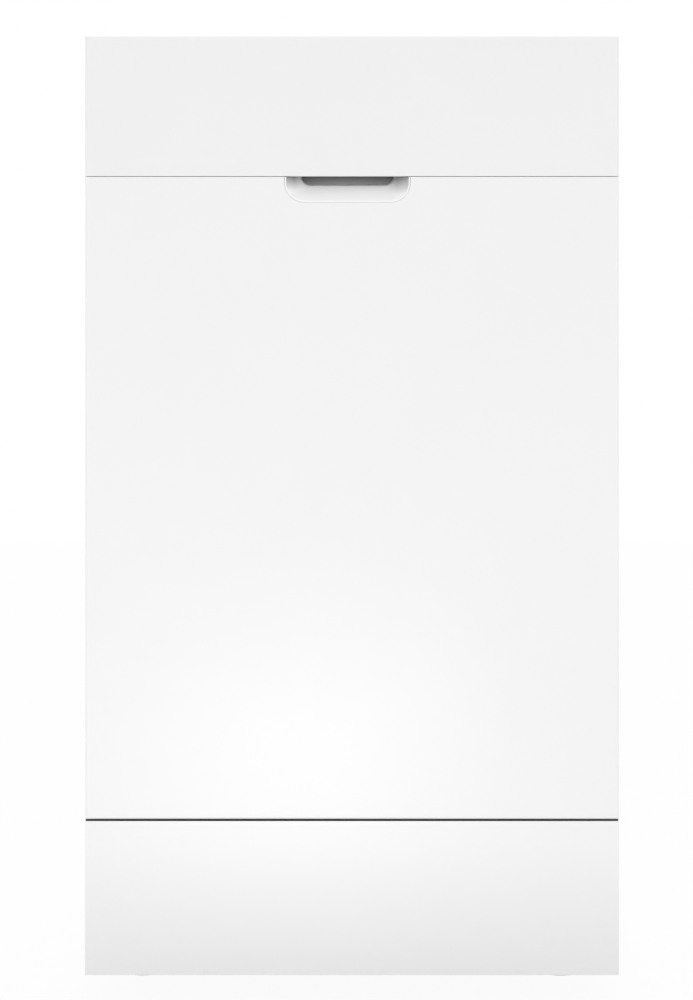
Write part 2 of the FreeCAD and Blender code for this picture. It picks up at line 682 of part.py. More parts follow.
def sump():
    """Moulded cup under the tub floor that collects the water, with stubs for both pumps."""
    top = PAN_Z - TUB_SHEET
    bottom = PAN_Z - SUMP_DEPTH
    cup = rod(vec(SUMP_X, SUMP_Y, bottom), vec(SUMP_X, SUMP_Y, top), SUMP_RADIUS)
    rim = rod(vec(SUMP_X, SUMP_Y, top - 5), vec(SUMP_X, SUMP_Y, top), SUMP_RADIUS + 6)
    to_pump = rod(
        vec(SUMP_X, SUMP_Y, SUMP_PORT_Z), vec(SUMP_X, SUMP_Y + SUMP_RADIUS + SUMP_STUB, SUMP_PORT_Z),
        SUMP_PORT_RADIUS + SUMP_WALL,
    )
    to_drain = rod(
        vec(SUMP_X, SUMP_Y, SUMP_PORT_Z), vec(SUMP_X + SUMP_RADIUS + SUMP_STUB, SUMP_Y, SUMP_PORT_Z),
        SUMP_PORT_RADIUS + SUMP_WALL,
    )
    hollow = rod(vec(SUMP_X, SUMP_Y, bottom + SUMP_WALL), vec(SUMP_X, SUMP_Y, top), SUMP_RADIUS - SUMP_WALL)
    bores = [
        rod(
            vec(SUMP_X, SUMP_Y, SUMP_PORT_Z), vec(SUMP_X, SUMP_Y + 2 * SUMP_RADIUS, SUMP_PORT_Z),
            SUMP_PORT_RADIUS,
        ),
        rod(
            vec(SUMP_X, SUMP_Y, SUMP_PORT_Z), vec(SUMP_X + 2 * SUMP_RADIUS, SUMP_Y, SUMP_PORT_Z),
            SUMP_PORT_RADIUS,
        ),
    ]
    shelf = rod(
        vec(SUMP_X, SUMP_Y, PAN_Z - FILTER_HEIGHT - SUMP_WALL), vec(
            SUMP_X, SUMP_Y, PAN_Z - FILTER_HEIGHT - RUNNING_GAP,
        ),
        FILTER_RADIUS,
    )
    post = rod(vec(SUMP_X, SUMP_Y, bottom), vec(SUMP_X, SUMP_Y, PAN_Z - FILTER_HEIGHT - SUMP_WALL), 9)
    body = union([cup, rim, to_pump, to_drain]).cut(Part.makeCompound([hollow] + bores))
    return union([body, post, shelf])


def fine_filter():
    """Flat strainer plate in the floor of the well, with a round seat for the filter cup."""
    low = rod(vec(SUMP_X, SUMP_Y, PAN_Z), vec(SUMP_X, SUMP_Y, PAN_Z + STRAINER_THICKNESS), SUMP_RADIUS + 8)
    seat = FILTER_RADIUS + RUNNING_GAP
    return low.cut(rod(vec(SUMP_X, SUMP_Y, PAN_Z - 5), vec(SUMP_X, SUMP_Y, PAN_Z + 10), seat))


def filter_cup():
    """Cylindrical filter that turns a quarter to unlock, with a grip bar across its mouth."""
    low = PAN_Z - FILTER_HEIGHT
    top = PAN_Z + STRAINER_THICKNESS
    cup = rod(vec(SUMP_X, SUMP_Y, low), vec(SUMP_X, SUMP_Y, top), FILTER_RADIUS)
    collar = rod(vec(SUMP_X, SUMP_Y, top + RUNNING_GAP), vec(SUMP_X, SUMP_Y, top + 3), FILTER_RADIUS + 6)
    neck = rod(vec(SUMP_X, SUMP_Y, top), vec(SUMP_X, SUMP_Y, top + 3), FILTER_RADIUS)
    hollow = rod(vec(SUMP_X, SUMP_Y, low + 2), vec(SUMP_X, SUMP_Y, top + 5), FILTER_RADIUS - 2)
    grip = block(
        SUMP_X - FILTER_RADIUS + 1, SUMP_X + FILTER_RADIUS - 1, SUMP_Y - 3, SUMP_Y + 3, top - 6,
        top + 9,
    )
    return union([union([cup, collar, neck]).cut(hollow), grip])


def circulation_pump():
    """Wash pump: finned motor can, volute and its two feet on the base."""
    can_left = PUMP_CASE_X - 12 - PUMP_CAN_LENGTH
    can = rod(vec(can_left, PUMP_Y, PUMP_Z), vec(PUMP_CASE_X - 12, PUMP_Y, PUMP_Z), PUMP_RADIUS)
    case = rod(
        vec(PUMP_CASE_X - 12, PUMP_Y, PUMP_Z), vec(PUMP_CASE_X + 26, PUMP_Y, PUMP_Z), PUMP_RADIUS + 9,
    )
    inlet = rod(
        vec(PUMP_CASE_X + 26, PUMP_Y, PUMP_Z), vec(
            PUMP_CASE_X + 26 + SUMP_STUB, PUMP_Y, PUMP_Z,
        ), SUMP_PORT_RADIUS + 3,
    )
    outlet = rod(
        vec(PUMP_CASE_X + 7, PUMP_Y + 34, PUMP_Z), vec(
            PUMP_CASE_X + 7, PUMP_Y + 34, PUMP_Z + PUMP_OUTLET_RISE,
        ), 10,
    )
    legs = [
        block(x - 6, x + 6, PUMP_Y - 26, PUMP_Y + 26, FLOOR_CLEARANCE + MOULDED_WALL, PUMP_Z)
        for x in (can_left + 20, PUMP_CASE_X)
    ]
    fins = [
        rod(
            vec(can_left + 18 + 12 * i, PUMP_Y, PUMP_Z), vec(can_left + 21 + 12 * i, PUMP_Y, PUMP_Z),
            PUMP_RADIUS + 3,
        )
        for i in range(6)
    ]
    room = rod(
        vec(PUMP_CASE_X - 6, PUMP_Y, PUMP_Z),
        vec(PUMP_CASE_X + 20, PUMP_Y, PUMP_Z), IMPELLER_RADIUS + 3,
    )
    shaft_room = rod(
        vec(
            PUMP_CASE_X - 50, PUMP_Y, PUMP_Z,
        ), vec(PUMP_CASE_X, PUMP_Y, PUMP_Z), IMPELLER_SHAFT + HINGE_PIN_FIT,
    )
    eye = rod(vec(PUMP_CASE_X, PUMP_Y, PUMP_Z), vec(PUMP_CASE_X + 60, PUMP_Y, PUMP_Z), SUMP_PORT_RADIUS)
    body = union([can, case, inlet, outlet] + legs + fins)
    return body.cut(Part.makeCompound([room, shaft_room, eye]))


def pump_impeller():
    """Impeller disc with curved vanes on its motor shaft."""
    disc = rod(vec(PUMP_CASE_X - 3, PUMP_Y, PUMP_Z), vec(PUMP_CASE_X, PUMP_Y, PUMP_Z), IMPELLER_RADIUS)
    shaft = rod(
        vec(PUMP_CASE_X - 49, PUMP_Y, PUMP_Z), vec(PUMP_CASE_X + 12, PUMP_Y, PUMP_Z), IMPELLER_SHAFT,
    )
    vanes = []
    for i in range(6):
        vane = block(
            PUMP_CASE_X, PUMP_CASE_X + 12, PUMP_Y - 1.2, PUMP_Y + 1.2, PUMP_Z + 3,
            PUMP_Z + IMPELLER_RADIUS - 1,
        )
        vane.rotate(vec(PUMP_CASE_X, PUMP_Y, PUMP_Z), X_AXIS, 60 * i)
        vanes.append(vane)
    return union([disc, shaft] + vanes)


def drain_pump():
    """Small drain pump on the side stub of the sump."""
    start = SUMP_X + SUMP_RADIUS + SUMP_STUB
    case = rod(vec(start, SUMP_Y, SUMP_PORT_Z), vec(start + 24, SUMP_Y, SUMP_PORT_Z), 26)
    motor = rod(vec(start + 24, SUMP_Y, SUMP_PORT_Z), vec(start + 60, SUMP_Y, SUMP_PORT_Z), 20)
    stub = rod(
        vec(start + 12, SUMP_Y, SUMP_PORT_Z), vec(start + 12, SUMP_Y + 40, SUMP_PORT_Z),
        DRAIN_HOSE_RADIUS,
    )
    leg = block(
        start + 4, start + 20, SUMP_Y - 12, SUMP_Y + 12, FLOOR_CLEARANCE + MOULDED_WALL, SUMP_PORT_Z,
    )
    return union([case, motor, stub, leg])


def pipe(points, radius, bend):
    """A round hose along straight runs joined by tangent arcs of one bend radius."""
    edges = []
    here = points[0]
    for before, corner, after in zip(points, points[1:], points[2:]):
        into = (corner - before).normalize()
        out = (after - corner).normalize()
        half_turn = math.acos(max(-1.0, min(1.0, into.dot(out)))) / 2
        back = bend * math.tan(half_turn)
        start = corner - into * back
        end = corner + out * back
        inward = (out - into).normalize()
        middle = corner + inward * (bend / math.cos(half_turn) - bend)
        edges.append(Part.LineSegment(here, start).toShape())
        edges.append(Part.Arc(start, middle, end).toShape())
        here = end
    edges.append(Part.LineSegment(here, points[-1]).toShape())
    path = Part.Wire(edges)
    ring = Part.Wire([Part.makeCircle(radius, points[0], points[1] - points[0])])
    return path.makePipeShell([ring], True, False)


def inner_hoses():
    """Two hoses inside the base: wash pump up to the rear duct, and drain pump back to the drain outlet."""
    pump_top = vec(PUMP_CASE_X + 7, PUMP_Y + 34, PUMP_Z + PUMP_OUTLET_RISE)
    duct_foot = vec(0, DUCT_Y, LEDGE_Z - DUCT_SPIGOT_DROP)
    level = pump_top.z + 14
    feed = pipe([pump_top, vec(pump_top.x, pump_top.y, level), vec(0, DUCT_Y, level), duct_foot], 8.0, 9.0)
    start = SUMP_X + SUMP_RADIUS + SUMP_STUB + 12
    drain_stub = vec(start, SUMP_Y + 40, SUMP_PORT_Z)
    outlet = vec(DRAIN_X, BASE_REAR - MOULDED_WALL, INLET_Z)
    drain = pipe(
        [drain_stub, vec(start, SUMP_Y + 110, SUMP_PORT_Z), vec(DRAIN_X, SUMP_Y + 150, INLET_Z), outlet],
        DRAIN_HOSE_RADIUS, 40.0,
    )
    return Part.makeCompound([feed, drain])


def drain_outlet():
    """Ribbed spigot in the back of the base where a drain hose pushes on."""
    body = rod(
        vec(DRAIN_X, BASE_REAR - MOULDED_WALL, INLET_Z), vec(DRAIN_X, REAR - SPIGOT_SETBACK, INLET_Z),
        DRAIN_SPIGOT,
    )
    plate = rod(vec(DRAIN_X, BASE_REAR, INLET_Z), vec(DRAIN_X, BASE_REAR + 2.5, INLET_Z), DRAIN_HALF + 4)
    bore = rod(
        vec(DRAIN_X, BASE_REAR - MOULDED_WALL, INLET_Z), vec(DRAIN_X, REAR, INLET_Z),
        DRAIN_SPIGOT - 2.5,
    )
    return union([body, plate]).cut(bore)


def inlet_valve():
    """Solenoid water valve: body and coil inside the base, with a threaded inlet out of the back."""
    back = BASE_REAR - MOULDED_WALL
    body = block(INLET_X - 15, INLET_X + 15, back - 34, back, INLET_Z - 15, INLET_Z + 15)
    coil = rod(vec(INLET_X, back - 18, INLET_Z + 15), vec(INLET_X, back - 18, INLET_Z + 46), 13)
    leg = block(INLET_X - 9, INLET_X + 9, back - 26, back - 8, FLOOR_CLEARANCE + MOULDED_WALL, INLET_Z - 15)
    inlet = rod(
        vec(INLET_X, back, INLET_Z), vec(INLET_X, REAR - SPIGOT_SETBACK, INLET_Z), INLET_THREAD_RADIUS,
    )
    bore = rod(vec(INLET_X, back - 12, INLET_Z), vec(INLET_X, REAR, INLET_Z), INLET_THREAD_RADIUS - 4.5)
    return union([body, coil, leg, inlet]).cut(bore)


def mains_inlet():
    """Moulded socket in the back of the base for a removable mains lead, with its three contact pins."""
    back = BASE_REAR
    plate = rounded_block(
        MAINS_X - MAINS_HALF - 5, MAINS_X + MAINS_HALF + 5, back, back + 2.5,
        INLET_Z - MAINS_HALF - 3, INLET_Z + MAINS_HALF + 3, 4, Y_AXIS,
    )
    box_outer = block(
        MAINS_X - MAINS_HALF + 0.5, MAINS_X + MAINS_HALF - 0.5, back - MAINS_SOCKET_DEPTH, back,
        INLET_Z - MAINS_HALF + 3, INLET_Z + MAINS_HALF - 3,
    )
    pocket = block(
        MAINS_X - MAINS_HALF + 3, MAINS_X + MAINS_HALF - 3, back - MAINS_SOCKET_DEPTH + 3, back + 10,
        INLET_Z - MAINS_HALF + 6, INLET_Z + MAINS_HALF - 6,
    )
    pins = [
        block(
            MAINS_X + dx - 1, MAINS_X + dx + 1, back - MAINS_SOCKET_DEPTH + 2, back - 5,
            INLET_Z + dz - 2, INLET_Z + dz + 2,
        )
        for dx, dz in ((-7, -3), (0, 3), (7, -3))
    ]
    return union([union([plate, box_outer]).cut(pocket)] + pins)


def water_softener():
    """Resin tank under the tub with the salt neck that comes up through the floor of the well."""
    low = FLOOR_CLEARANCE + MOULDED_WALL
    tank = rounded_block(
        SALT_X - SOFTENER_HALF, SALT_X + SOFTENER_HALF,
        SALT_Y - 62, SALT_Y + 74, low, PAN_Z - 18, 14, Z_AXIS,
    )
    neck = rod(vec(SALT_X, SALT_Y, PAN_Z - 18), vec(SALT_X, SALT_Y, PAN_Z + 4), SALT_NECK_RADIUS)
    bore = rod(vec(SALT_X, SALT_Y, low + 20), vec(SALT_X, SALT_Y, PAN_Z + 10), SALT_NECK_RADIUS - 4)
    return union([tank, neck]).cut(bore)


def salt_cap():
    """Screw cap on the salt neck, with a finger bar."""
    low = PAN_Z + 4 + RUNNING_GAP
    top = rod(vec(SALT_X, SALT_Y, low), vec(SALT_X, SALT_Y, low + 6), SALT_NECK_RADIUS + 5)
    plug = rod(vec(SALT_X, SALT_Y, low - 14), vec(SALT_X, SALT_Y, low), SALT_NECK_RADIUS - 4 - RUNNING_GAP)
    bar = block(SALT_X - 22, SALT_X + 22, SALT_Y - 4, SALT_Y + 4, low + 6, low + 14)
    return union([top, plug, bar])


def air_break_tank():
    """Flat moulded water box in the gap between the tub and the left side panel."""
    left = -SHELL_X + PANEL_SHEET
    right = left + TUB_SIDE_GAP - 4.0
    low = LEDGE_Z + AIR_TANK_LIFT
    high = TUB_TOP - AIR_TANK_DROP
    tank = rounded_block(
        left, right, HUB_Y - AIR_TANK_HALF, HUB_Y + AIR_TANK_HALF, low, high, AIR_TANK_CORNER, X_AXIS,
    )
    pads = [
        block(right, -TUB_X - 0.2, y - 8, y + 8, z - 8, z + 8)
        for y in (HUB_Y - AIR_TANK_HALF + 30, HUB_Y + AIR_TANK_HALF - 30)
        for z in (low + 30, high - 30)
    ]
    return union([tank] + pads)


def feed_duct():
    """Moulded water duct up the back wall of the tub and along its ceiling to the top sprayer."""
    rear = TUB_REAR
    front = TUB_REAR - DUCT_THICKNESS
    top = TUB_TOP - TUB_SHEET
    riser = rounded_block(-DUCT_WIDTH / 2, DUCT_WIDTH / 2, front, rear, LEDGE_Z, top, 6, Z_AXIS)
    ceiling = block(-DUCT_WIDTH / 4, DUCT_WIDTH / 4, HUB_Y, front + 1, top - CEILING_DUCT, top)
    boss = rod(vec(0, HUB_Y, top - CEILING_DUCT), vec(0, HUB_Y, top), DUCT_WIDTH / 4)
    spigot = rod(vec(0, DUCT_Y, LEDGE_Z - DUCT_SPIGOT_DROP), vec(0, DUCT_Y, LEDGE_Z), DUCT_SPIGOT_RADIUS)
    dock = rod(vec(0, front - DOCK_LENGTH, MANIFOLD_Z), vec(0, front + 2, MANIFOLD_Z), DOCK_RADIUS)
    dock_bore = rod(vec(0, front - DOCK_LENGTH, MANIFOLD_Z), vec(0, front + 8, MANIFOLD_Z), DOCK_RADIUS - 3)
    return union([riser, ceiling, boss, spigot, dock]).cut(dock_bore)


def ceiling_sprayer():
    """Round fixed spray rose under the ceiling duct."""
    top = TUB_TOP - TUB_SHEET - CEILING_DUCT
    rose = rod(vec(0, HUB_Y, top - 9), vec(0, HUB_Y, top), 30)
    rose = rose.makeFillet(
        4, [e for e in rose.Edges if abs(e.CenterOfMass.z - (top - 9)) < 0.1 and len(e.Vertexes) == 1],
    )
    holes = [
        rod(vec(20 * math.cos(math.radians(a)), HUB_Y + 20 * math.sin(math.radians(a)), top - 12),
            vec(20 * math.cos(math.radians(a)), HUB_Y + 20 * math.sin(math.radians(a)), top - 4), 1.6)
        for a in range(0, 360, 45)
    ]
    return rose.cut(Part.makeCompound(holes))


def spray_hub():
    """Bearing post on the tub floor that carries and feeds the lower spray arm."""
    foot_plate = rod(vec(0, HUB_Y, PAN_Z), vec(0, HUB_Y, PAN_Z + 4), HUB_RADIUS + 12)
    post = rod(vec(0, HUB_Y, PAN_Z), vec(0, HUB_Y, LOWER_SPRAY_Z - RUNNING_GAP), HUB_RADIUS)
    pin = rod(vec(0, HUB_Y, PAN_Z), vec(0, HUB_Y, LOWER_SPRAY_Z + SPRAY_THICKNESS - 5), SPRAY_PIN_RADIUS)
    return union([foot_plate, post, pin])


def spray_arm(low_z):
    """Two-bladed spray arm lying along X with rows of nozzles, as a shell round its hub bore seat."""
    wires = []
    tip_width = SPRAY_WIDTH * 0.55
    for x, half in (
        (-SPRAY_RADIUS, tip_width / 2), (-20, SPRAY_WIDTH / 2), (20, SPRAY_WIDTH / 2),
        (SPRAY_RADIUS, tip_width / 2),
    ):
        wires.append((x, half))
    upper = [vec(x, HUB_Y + half, low_z) for x, half in wires]
    lower = [vec(x, HUB_Y - half, low_z) for x, half in reversed(wires)]
    blade = outline_prism(upper + lower, Z_AXIS, SPRAY_THICKNESS)
    tips = [
        e
        for e in blade.Edges if abs(
            e.tangentAt(e.FirstParameter).dot(Z_AXIS),
        ) > 0.99 and abs(e.CenterOfMass.x) > SPRAY_RADIUS - 1
    ]
    blade = blade.makeFillet(tip_width / 2 - 0.5, tips)
    rims = [e for e in blade.Edges if abs(e.CenterOfMass.z - (low_z + SPRAY_THICKNESS)) < 0.01]
    blade = blade.makeFillet(3.0, rims)
    nozzles = []
    for i in range(1, 6):
        for side in (-1, 1):
            x = side * (20 + i * (SPRAY_RADIUS - 36) / 5)
            y = HUB_Y + side * 6 * (-1) ** i
            nozzles.append(
                rod(vec(x, y, low_z + SPRAY_THICKNESS - 4), vec(x, y, low_z + SPRAY_THICKNESS + 1), 2.0),
            )
    return blade.cut(Part.makeCompound(nozzles))


def lower_spray_arm():
    arm = spray_arm(LOWER_SPRAY_Z)
    bearing = rod(
        vec(0, HUB_Y, LOWER_SPRAY_Z - 1),
        vec(0, HUB_Y, LOWER_SPRAY_Z + SPRAY_THICKNESS - 5 + RUNNING_GAP),
        SPRAY_PIN_RADIUS + SPRAY_FIT,
    )
    return arm.cut(bearing)


def upper_spray_arm():
    arm = spray_arm(UPPER_SPRAY_Z)
    bearing = rod(
        vec(0, HUB_Y, UPPER_SPRAY_Z + 5 - RUNNING_GAP),
        vec(0, HUB_Y, UPPER_SPRAY_Z + SPRAY_THICKNESS + 1),
        SPRAY_PIN_RADIUS + SPRAY_FIT,
    )
    return arm.cut(bearing)


def upper_manifold():
    """Feed pipe clipped under the upper rack: docks at the back and carries the upper spray arm."""
    back = TUB_REAR - DUCT_THICKNESS - DOCK_LENGTH - RUNNING_GAP
    beam = block(-11, 11, HUB_Y, back, MANIFOLD_Z - MANIFOLD_HALF, MANIFOLD_Z + MANIFOLD_HALF)
    cone = rod(vec(0, back - 10, MANIFOLD_Z), vec(0, back, MANIFOLD_Z), DOCK_RADIUS)
    hub = rod(vec(0, HUB_Y, MANIFOLD_Z - MANIFOLD_HALF), vec(0, HUB_Y, MANIFOLD_Z + MANIFOLD_HALF), 18)
    collar = rod(
        vec(
            0, HUB_Y, UPPER_SPRAY_Z + SPRAY_THICKNESS + RUNNING_GAP,
        ), vec(0, HUB_Y, MANIFOLD_Z - MANIFOLD_HALF), HUB_RADIUS,
    )
    pin = rod(vec(0, HUB_Y, UPPER_SPRAY_Z + 5), vec(0, HUB_Y, MANIFOLD_Z), SPRAY_PIN_RADIUS)
    wire_low = UPPER_LAYOUT["long_z"] - WIRE_RADIUS + WIRE_SINK / 2
    clips = []
    for y in (HUB_Y + 6, back - 40):
        clips.append(block(-8, 8, y - 5, y + 5, MANIFOLD_Z, wire_low))
        clips.append(block(-38, 38, y - 5, y + 5, wire_low - 4, wire_low))
    return union([beam, cone, hub, collar, pin] + clips)


# Hinge and springs


def hinge_brackets():
    """Steel plates on the base columns with riveted hinge pins and tabs for the counterbalance springs."""
    inner = HINGE_PLATE_X
    outer = HINGE_PLATE_X + HINGE_PLATE_THICKNESS
    rear = BASE_FRONT + COLUMN_DEPTH
    plate = block(inner, outer, HINGE_Y - 10, rear, HINGE_Z - 18, HINGE_Z + 18)
    strip = block(inner, outer, rear, SPRING_REAR_Y + 4, HINGE_Z + 2, HINGE_Z + 18)
    tab = block(
        inner, SPRING_X + 4, SPRING_REAR_Y, SPRING_REAR_Y + 4, HINGE_Z + 2, HINGE_Z + SPRING_LEVER + 8,
    )
    pin = rod(vec(inner, HINGE_Y, HINGE_Z), vec(SHELL_X - 0.5, HINGE_Y, HINGE_Z), HINGE_PIN_RADIUS)
    return both_sides(union([plate, strip, tab, pin]))


def hinge_arms():
    """Steel arms on the sides of the door that turn on the pins, each with a stud for its spring."""
    inner = SHELL_X - HINGE_ARM_THICKNESS
    blade = block(
        inner, SHELL_X, RETURN_Y - 1.5 - HINGE_ARM_WIDTH,
        RETURN_Y - 1.5, HINGE_Z, HINGE_Z + HINGE_ARM_LENGTH,
    )
    eye = rod(vec(inner, HINGE_Y, HINGE_Z), vec(SHELL_X, HINGE_Y, HINGE_Z), 9)
    stud = rod(
        vec(
            SPRING_X - 1.7, SPRING_FRONT_Y, HINGE_Z + SPRING_LEVER,
        ), vec(inner, SPRING_FRONT_Y, HINGE_Z + SPRING_LEVER), 2.5,
    )
    hole = rod(vec(0, HINGE_Y, HINGE_Z), vec(HALF, HINGE_Y, HINGE_Z), HINGE_PIN_RADIUS + HINGE_PIN_FIT)
    return both_sides(union([blade, eye, stud]).cut(hole))


def hinge_springs():
    """Coil springs in the side gaps that balance the weight of the door."""
    z = HINGE_Z + SPRING_LEVER
    x = SPRING_X - 0.6
    front = SPRING_FRONT_Y + 2.5
    rear = SPRING_REAR_Y
    coil_front = front + 14
    coil_rear = rear - 14
    pitch = (coil_rear - coil_front) / SPRING_TURNS
    helix = Part.makeHelix(pitch, coil_rear - coil_front, SPRING_COIL_RADIUS)
    section = Part.Wire(Part.makeCircle(SPRING_WIRE_RADIUS, vec(SPRING_COIL_RADIUS, 0, 0), Y_AXIS))
    coil = Part.Wire(helix).makePipeShell([section], True, True)
    coil.rotate(vec(0, 0, 0), X_AXIS, -90)
    coil.translate(vec(x, coil_front, z))
    ends = [
        rod(vec(x, front, z), vec(x, coil_front, z), SPRING_WIRE_RADIUS + 0.4),
        rod(vec(x, coil_rear, z), vec(x, rear, z), SPRING_WIRE_RADIUS + 0.4),
        rod(vec(x, coil_front - 2, z), vec(x, coil_front, z), SPRING_COIL_RADIUS + SPRING_WIRE_RADIUS),
        rod(vec(x, coil_rear, z), vec(x, coil_rear + 2, z), SPRING_COIL_RADIUS + SPRING_WIRE_RADIUS),
    ]
    caps = [union([ends[0], ends[2]]), union([ends[1], ends[3]])]
    solids = coil.Solids + caps
    return Part.makeCompound(solids + [mirrored(s) for s in solids])


# Door


def pull_outline(half, low, top, corner, y):
    """Closed outline of the scoop: straight top and sides, round lower corners."""
    c = corner * math.sqrt(0.5)
    left = PULL_X - half
    right = PULL_X + half
    points = {
        "a": vec(left, y, top), "b": vec(left, y, low + corner),
        "b2": vec(left + corner - c, y, low + corner - c), "c": vec(left + corner, y, low),
        "d": vec(right - corner, y, low), "d2": vec(right - corner + c, y, low + corner - c),
        "e": vec(right, y, low + corner), "f": vec(right, y, top),
    }
    edges = [
        Part.LineSegment(points["a"], points["b"]).toShape(),
        Part.Arc(points["b"], points["b2"], points["c"]).toShape(),
        Part.LineSegment(points["c"], points["d"]).toShape(),
        Part.Arc(points["d"], points["d2"], points["e"]).toShape(),
        Part.LineSegment(points["e"], points["f"]).toShape(),
        Part.LineSegment(points["f"], points["a"]).toShape(),
    ]
    return Part.Wire(edges)


def pull_prism(half, low, top, corner, y0, y1):
    return Part.Face(pull_outline(half, low, top, corner, y0)).extrude(Y_AXIS * (y1 - y0))


def door_panel():
    """Painted outer sheet of the door: front, short bottom return, top return and hemmed sides."""
    outer = block(-HALF, HALF, FRONT, RETURN_Y, DOOR_BOTTOM, DOOR_TOP)
    rounded = [
        e for e in outer.Edges
        if abs(e.CenterOfMass.y - FRONT) < 0.01
        and (abs(abs(e.CenterOfMass.x) - HALF) < 0.01 or e.CenterOfMass.z < DOOR_BOTTOM + 0.01)
    ]
    outer = outer.makeFillet(FRONT_EDGE_RADIUS, rounded)
    hollow = block(
        -SHELL_X, SHELL_X, FRONT + PANEL_SHEET, REAR, DOOR_BOTTOM + PANEL_SHEET, DOOR_TOP - PANEL_SHEET,
    )
    open_foot = block(
        -SHELL_X, SHELL_X, FRONT + DOOR_FOOT_RETURN, REAR, DOOR_BOTTOM - 1, DOOR_BOTTOM + 2,
    )
    open_top = block(-SHELL_X, SHELL_X, FRONT + DOOR_TOP_RETURN, REAR, DOOR_TOP - 2, DOOR_TOP + 1)
    pull_hole = pull_prism(PULL_WIDTH / 2, PULL_LOW, DOOR_TOP + 5, PULL_CORNER, FRONT - 1, REAR)
    shell = outer.cut(Part.makeCompound([hollow, open_foot, open_top])).cut(pull_hole)
    hems = [
        block(
            side * (HALF - DOOR_HEM), side * SHELL_X, RETURN_Y - PANEL_SHEET, RETURN_Y, LINER_FLANGE_Z,
            DOOR_TOP,
        )
        for side in (-1, 1)
    ]
    body = union([shell] + hems)
    return body.cut(Part.makeCompound(door_screw_holes()))


def door_screw_holes():
    holes = []
    for z in DOOR_SCREW_Z:
        hole = rod(
            vec(DOOR_SCREW_X, RETURN_Y - DOOR_SCREW_LENGTH, z), vec(DOOR_SCREW_X, RETURN_Y + 5, z),
            SCREW_RADIUS,
        )
        holes += [hole, mirrored(hole)]
    return holes


def door_screws():
    """Like pan-head screws that hold the inner door to the outer panel and the fascia."""
    screws = []
    back = RETURN_Y + TUB_SHEET
    for z in DOOR_SCREW_Z:
        head = rod(
            vec(DOOR_SCREW_X, back, z), vec(DOOR_SCREW_X, back + SCREW_HEAD_HEIGHT, z),
            SCREW_HEAD_RADIUS,
        )
        shank = rod(
            vec(DOOR_SCREW_X, back - DOOR_SCREW_LENGTH, z), vec(DOOR_SCREW_X, back, z), SCREW_RADIUS,
        )
        screw = union([head, shank])
        screws += [screw, mirrored(screw)]
    return Part.makeCompound(screws)


def control_fascia():
    """Moulded upper front of the door: plain face, hemmed sides and a bottom wall open round the scoop."""
    outer = block(-HALF, HALF, FRONT, RETURN_Y, FASCIA_BOTTOM, HEIGHT)
    rounded = [
        e for e in outer.Edges
        if abs(e.CenterOfMass.y - FRONT) < 0.01 and e.CenterOfMass.z > FASCIA_BOTTOM + 0.01
    ]
    outer = outer.makeFillet(FRONT_EDGE_RADIUS, rounded)
    inner_x = HALF - FASCIA_WALL
    hollow = block(-inner_x, inner_x, FRONT + FASCIA_WALL, REAR, FASCIA_BOTTOM + FASCIA_WALL, HEIGHT + 1)
    open_bottom = block(
        -inner_x, inner_x, FRONT + DOOR_TOP_RETURN, REAR, FASCIA_BOTTOM - 1, FASCIA_BOTTOM + 5,
    )
    room = PULL_WIDTH / 2 + 0.5
    pull_room = block(
        PULL_X - room, PULL_X + room, FRONT + FASCIA_WALL, REAR, FASCIA_BOTTOM - 1, FASCIA_BOTTOM + 5,
    )
    shell = outer.cut(Part.makeCompound([hollow, open_bottom, pull_room]))
    hems = [
        block(
            side * FASCIA_HEM_X, side * inner_x, RETURN_Y - FASCIA_WALL, RETURN_Y, FASCIA_BOTTOM,
            HEIGHT - STRIP_THICKNESS,
        )
        for side in (-1, 1)
    ]
    ledges = [
        block(
            x - 8, x + 8, FRONT + FASCIA_WALL, FRONT + FASCIA_WALL + 5, HEIGHT - STRIP_THICKNESS - 4,
            HEIGHT - STRIP_THICKNESS,
        )
        for x in (-HALF + 19, -HALF + 94, -HALF + 164, 20, HALF - 99, HALF - 19)
    ]
    body = union([shell] + hems + ledges)
    return body.cut(Part.makeCompound(door_screw_holes()))


def handle_pocket():
    """Moulded scoop behind the door's top edge: a sloping lip, then a hood behind the fascia."""
    half = PULL_WIDTH / 2 - PULL_FIT
    low = PULL_LOW + PULL_FIT
    back = FRONT + PULL_DEPTH + PULL_WALL
    face = pull_prism(half, low, DOOR_TOP, PULL_CORNER - PULL_FIT, FRONT + 0.4, back)
    hood = block(
        PULL_X - half, PULL_X + half, FRONT + FASCIA_WALL + RUNNING_GAP, back, DOOR_TOP, PULL_HOOD_TOP,
    )
    flange = block(
        PULL_X - half - 6, PULL_X + half + 6, FRONT + PANEL_SHEET,
        FRONT + PANEL_SHEET + 1.5, low - 6, DOOR_TOP - PANEL_SHEET,
    )
    steps = [(FRONT - 0.1 + depth * (PULL_LIP_DEPTH + 0.1), rise) for depth, rise in PULL_LIP_SHAPE]
    steps.append((FRONT + PULL_DEPTH, 1.0))
    lip_foot = low + PULL_WALL
    lip_rise = DOOR_TOP - PULL_LIP_DROP - lip_foot
    rim_corner = PULL_CORNER - PULL_WALL
    outlines = [
        pull_outline(
            half - PULL_WALL - rise * (PULL_SIDE_SLOPE - PULL_WALL), lip_foot + rise * lip_rise,
            PULL_HOOD_TOP - PULL_WALL, rim_corner + rise * (PULL_INNER_CORNER - rim_corner), y,
        )
        for y, rise in steps
    ]
    scoop = Part.makeLoft(outlines, True, True)
    return union([face, hood, flange]).cut(scoop)


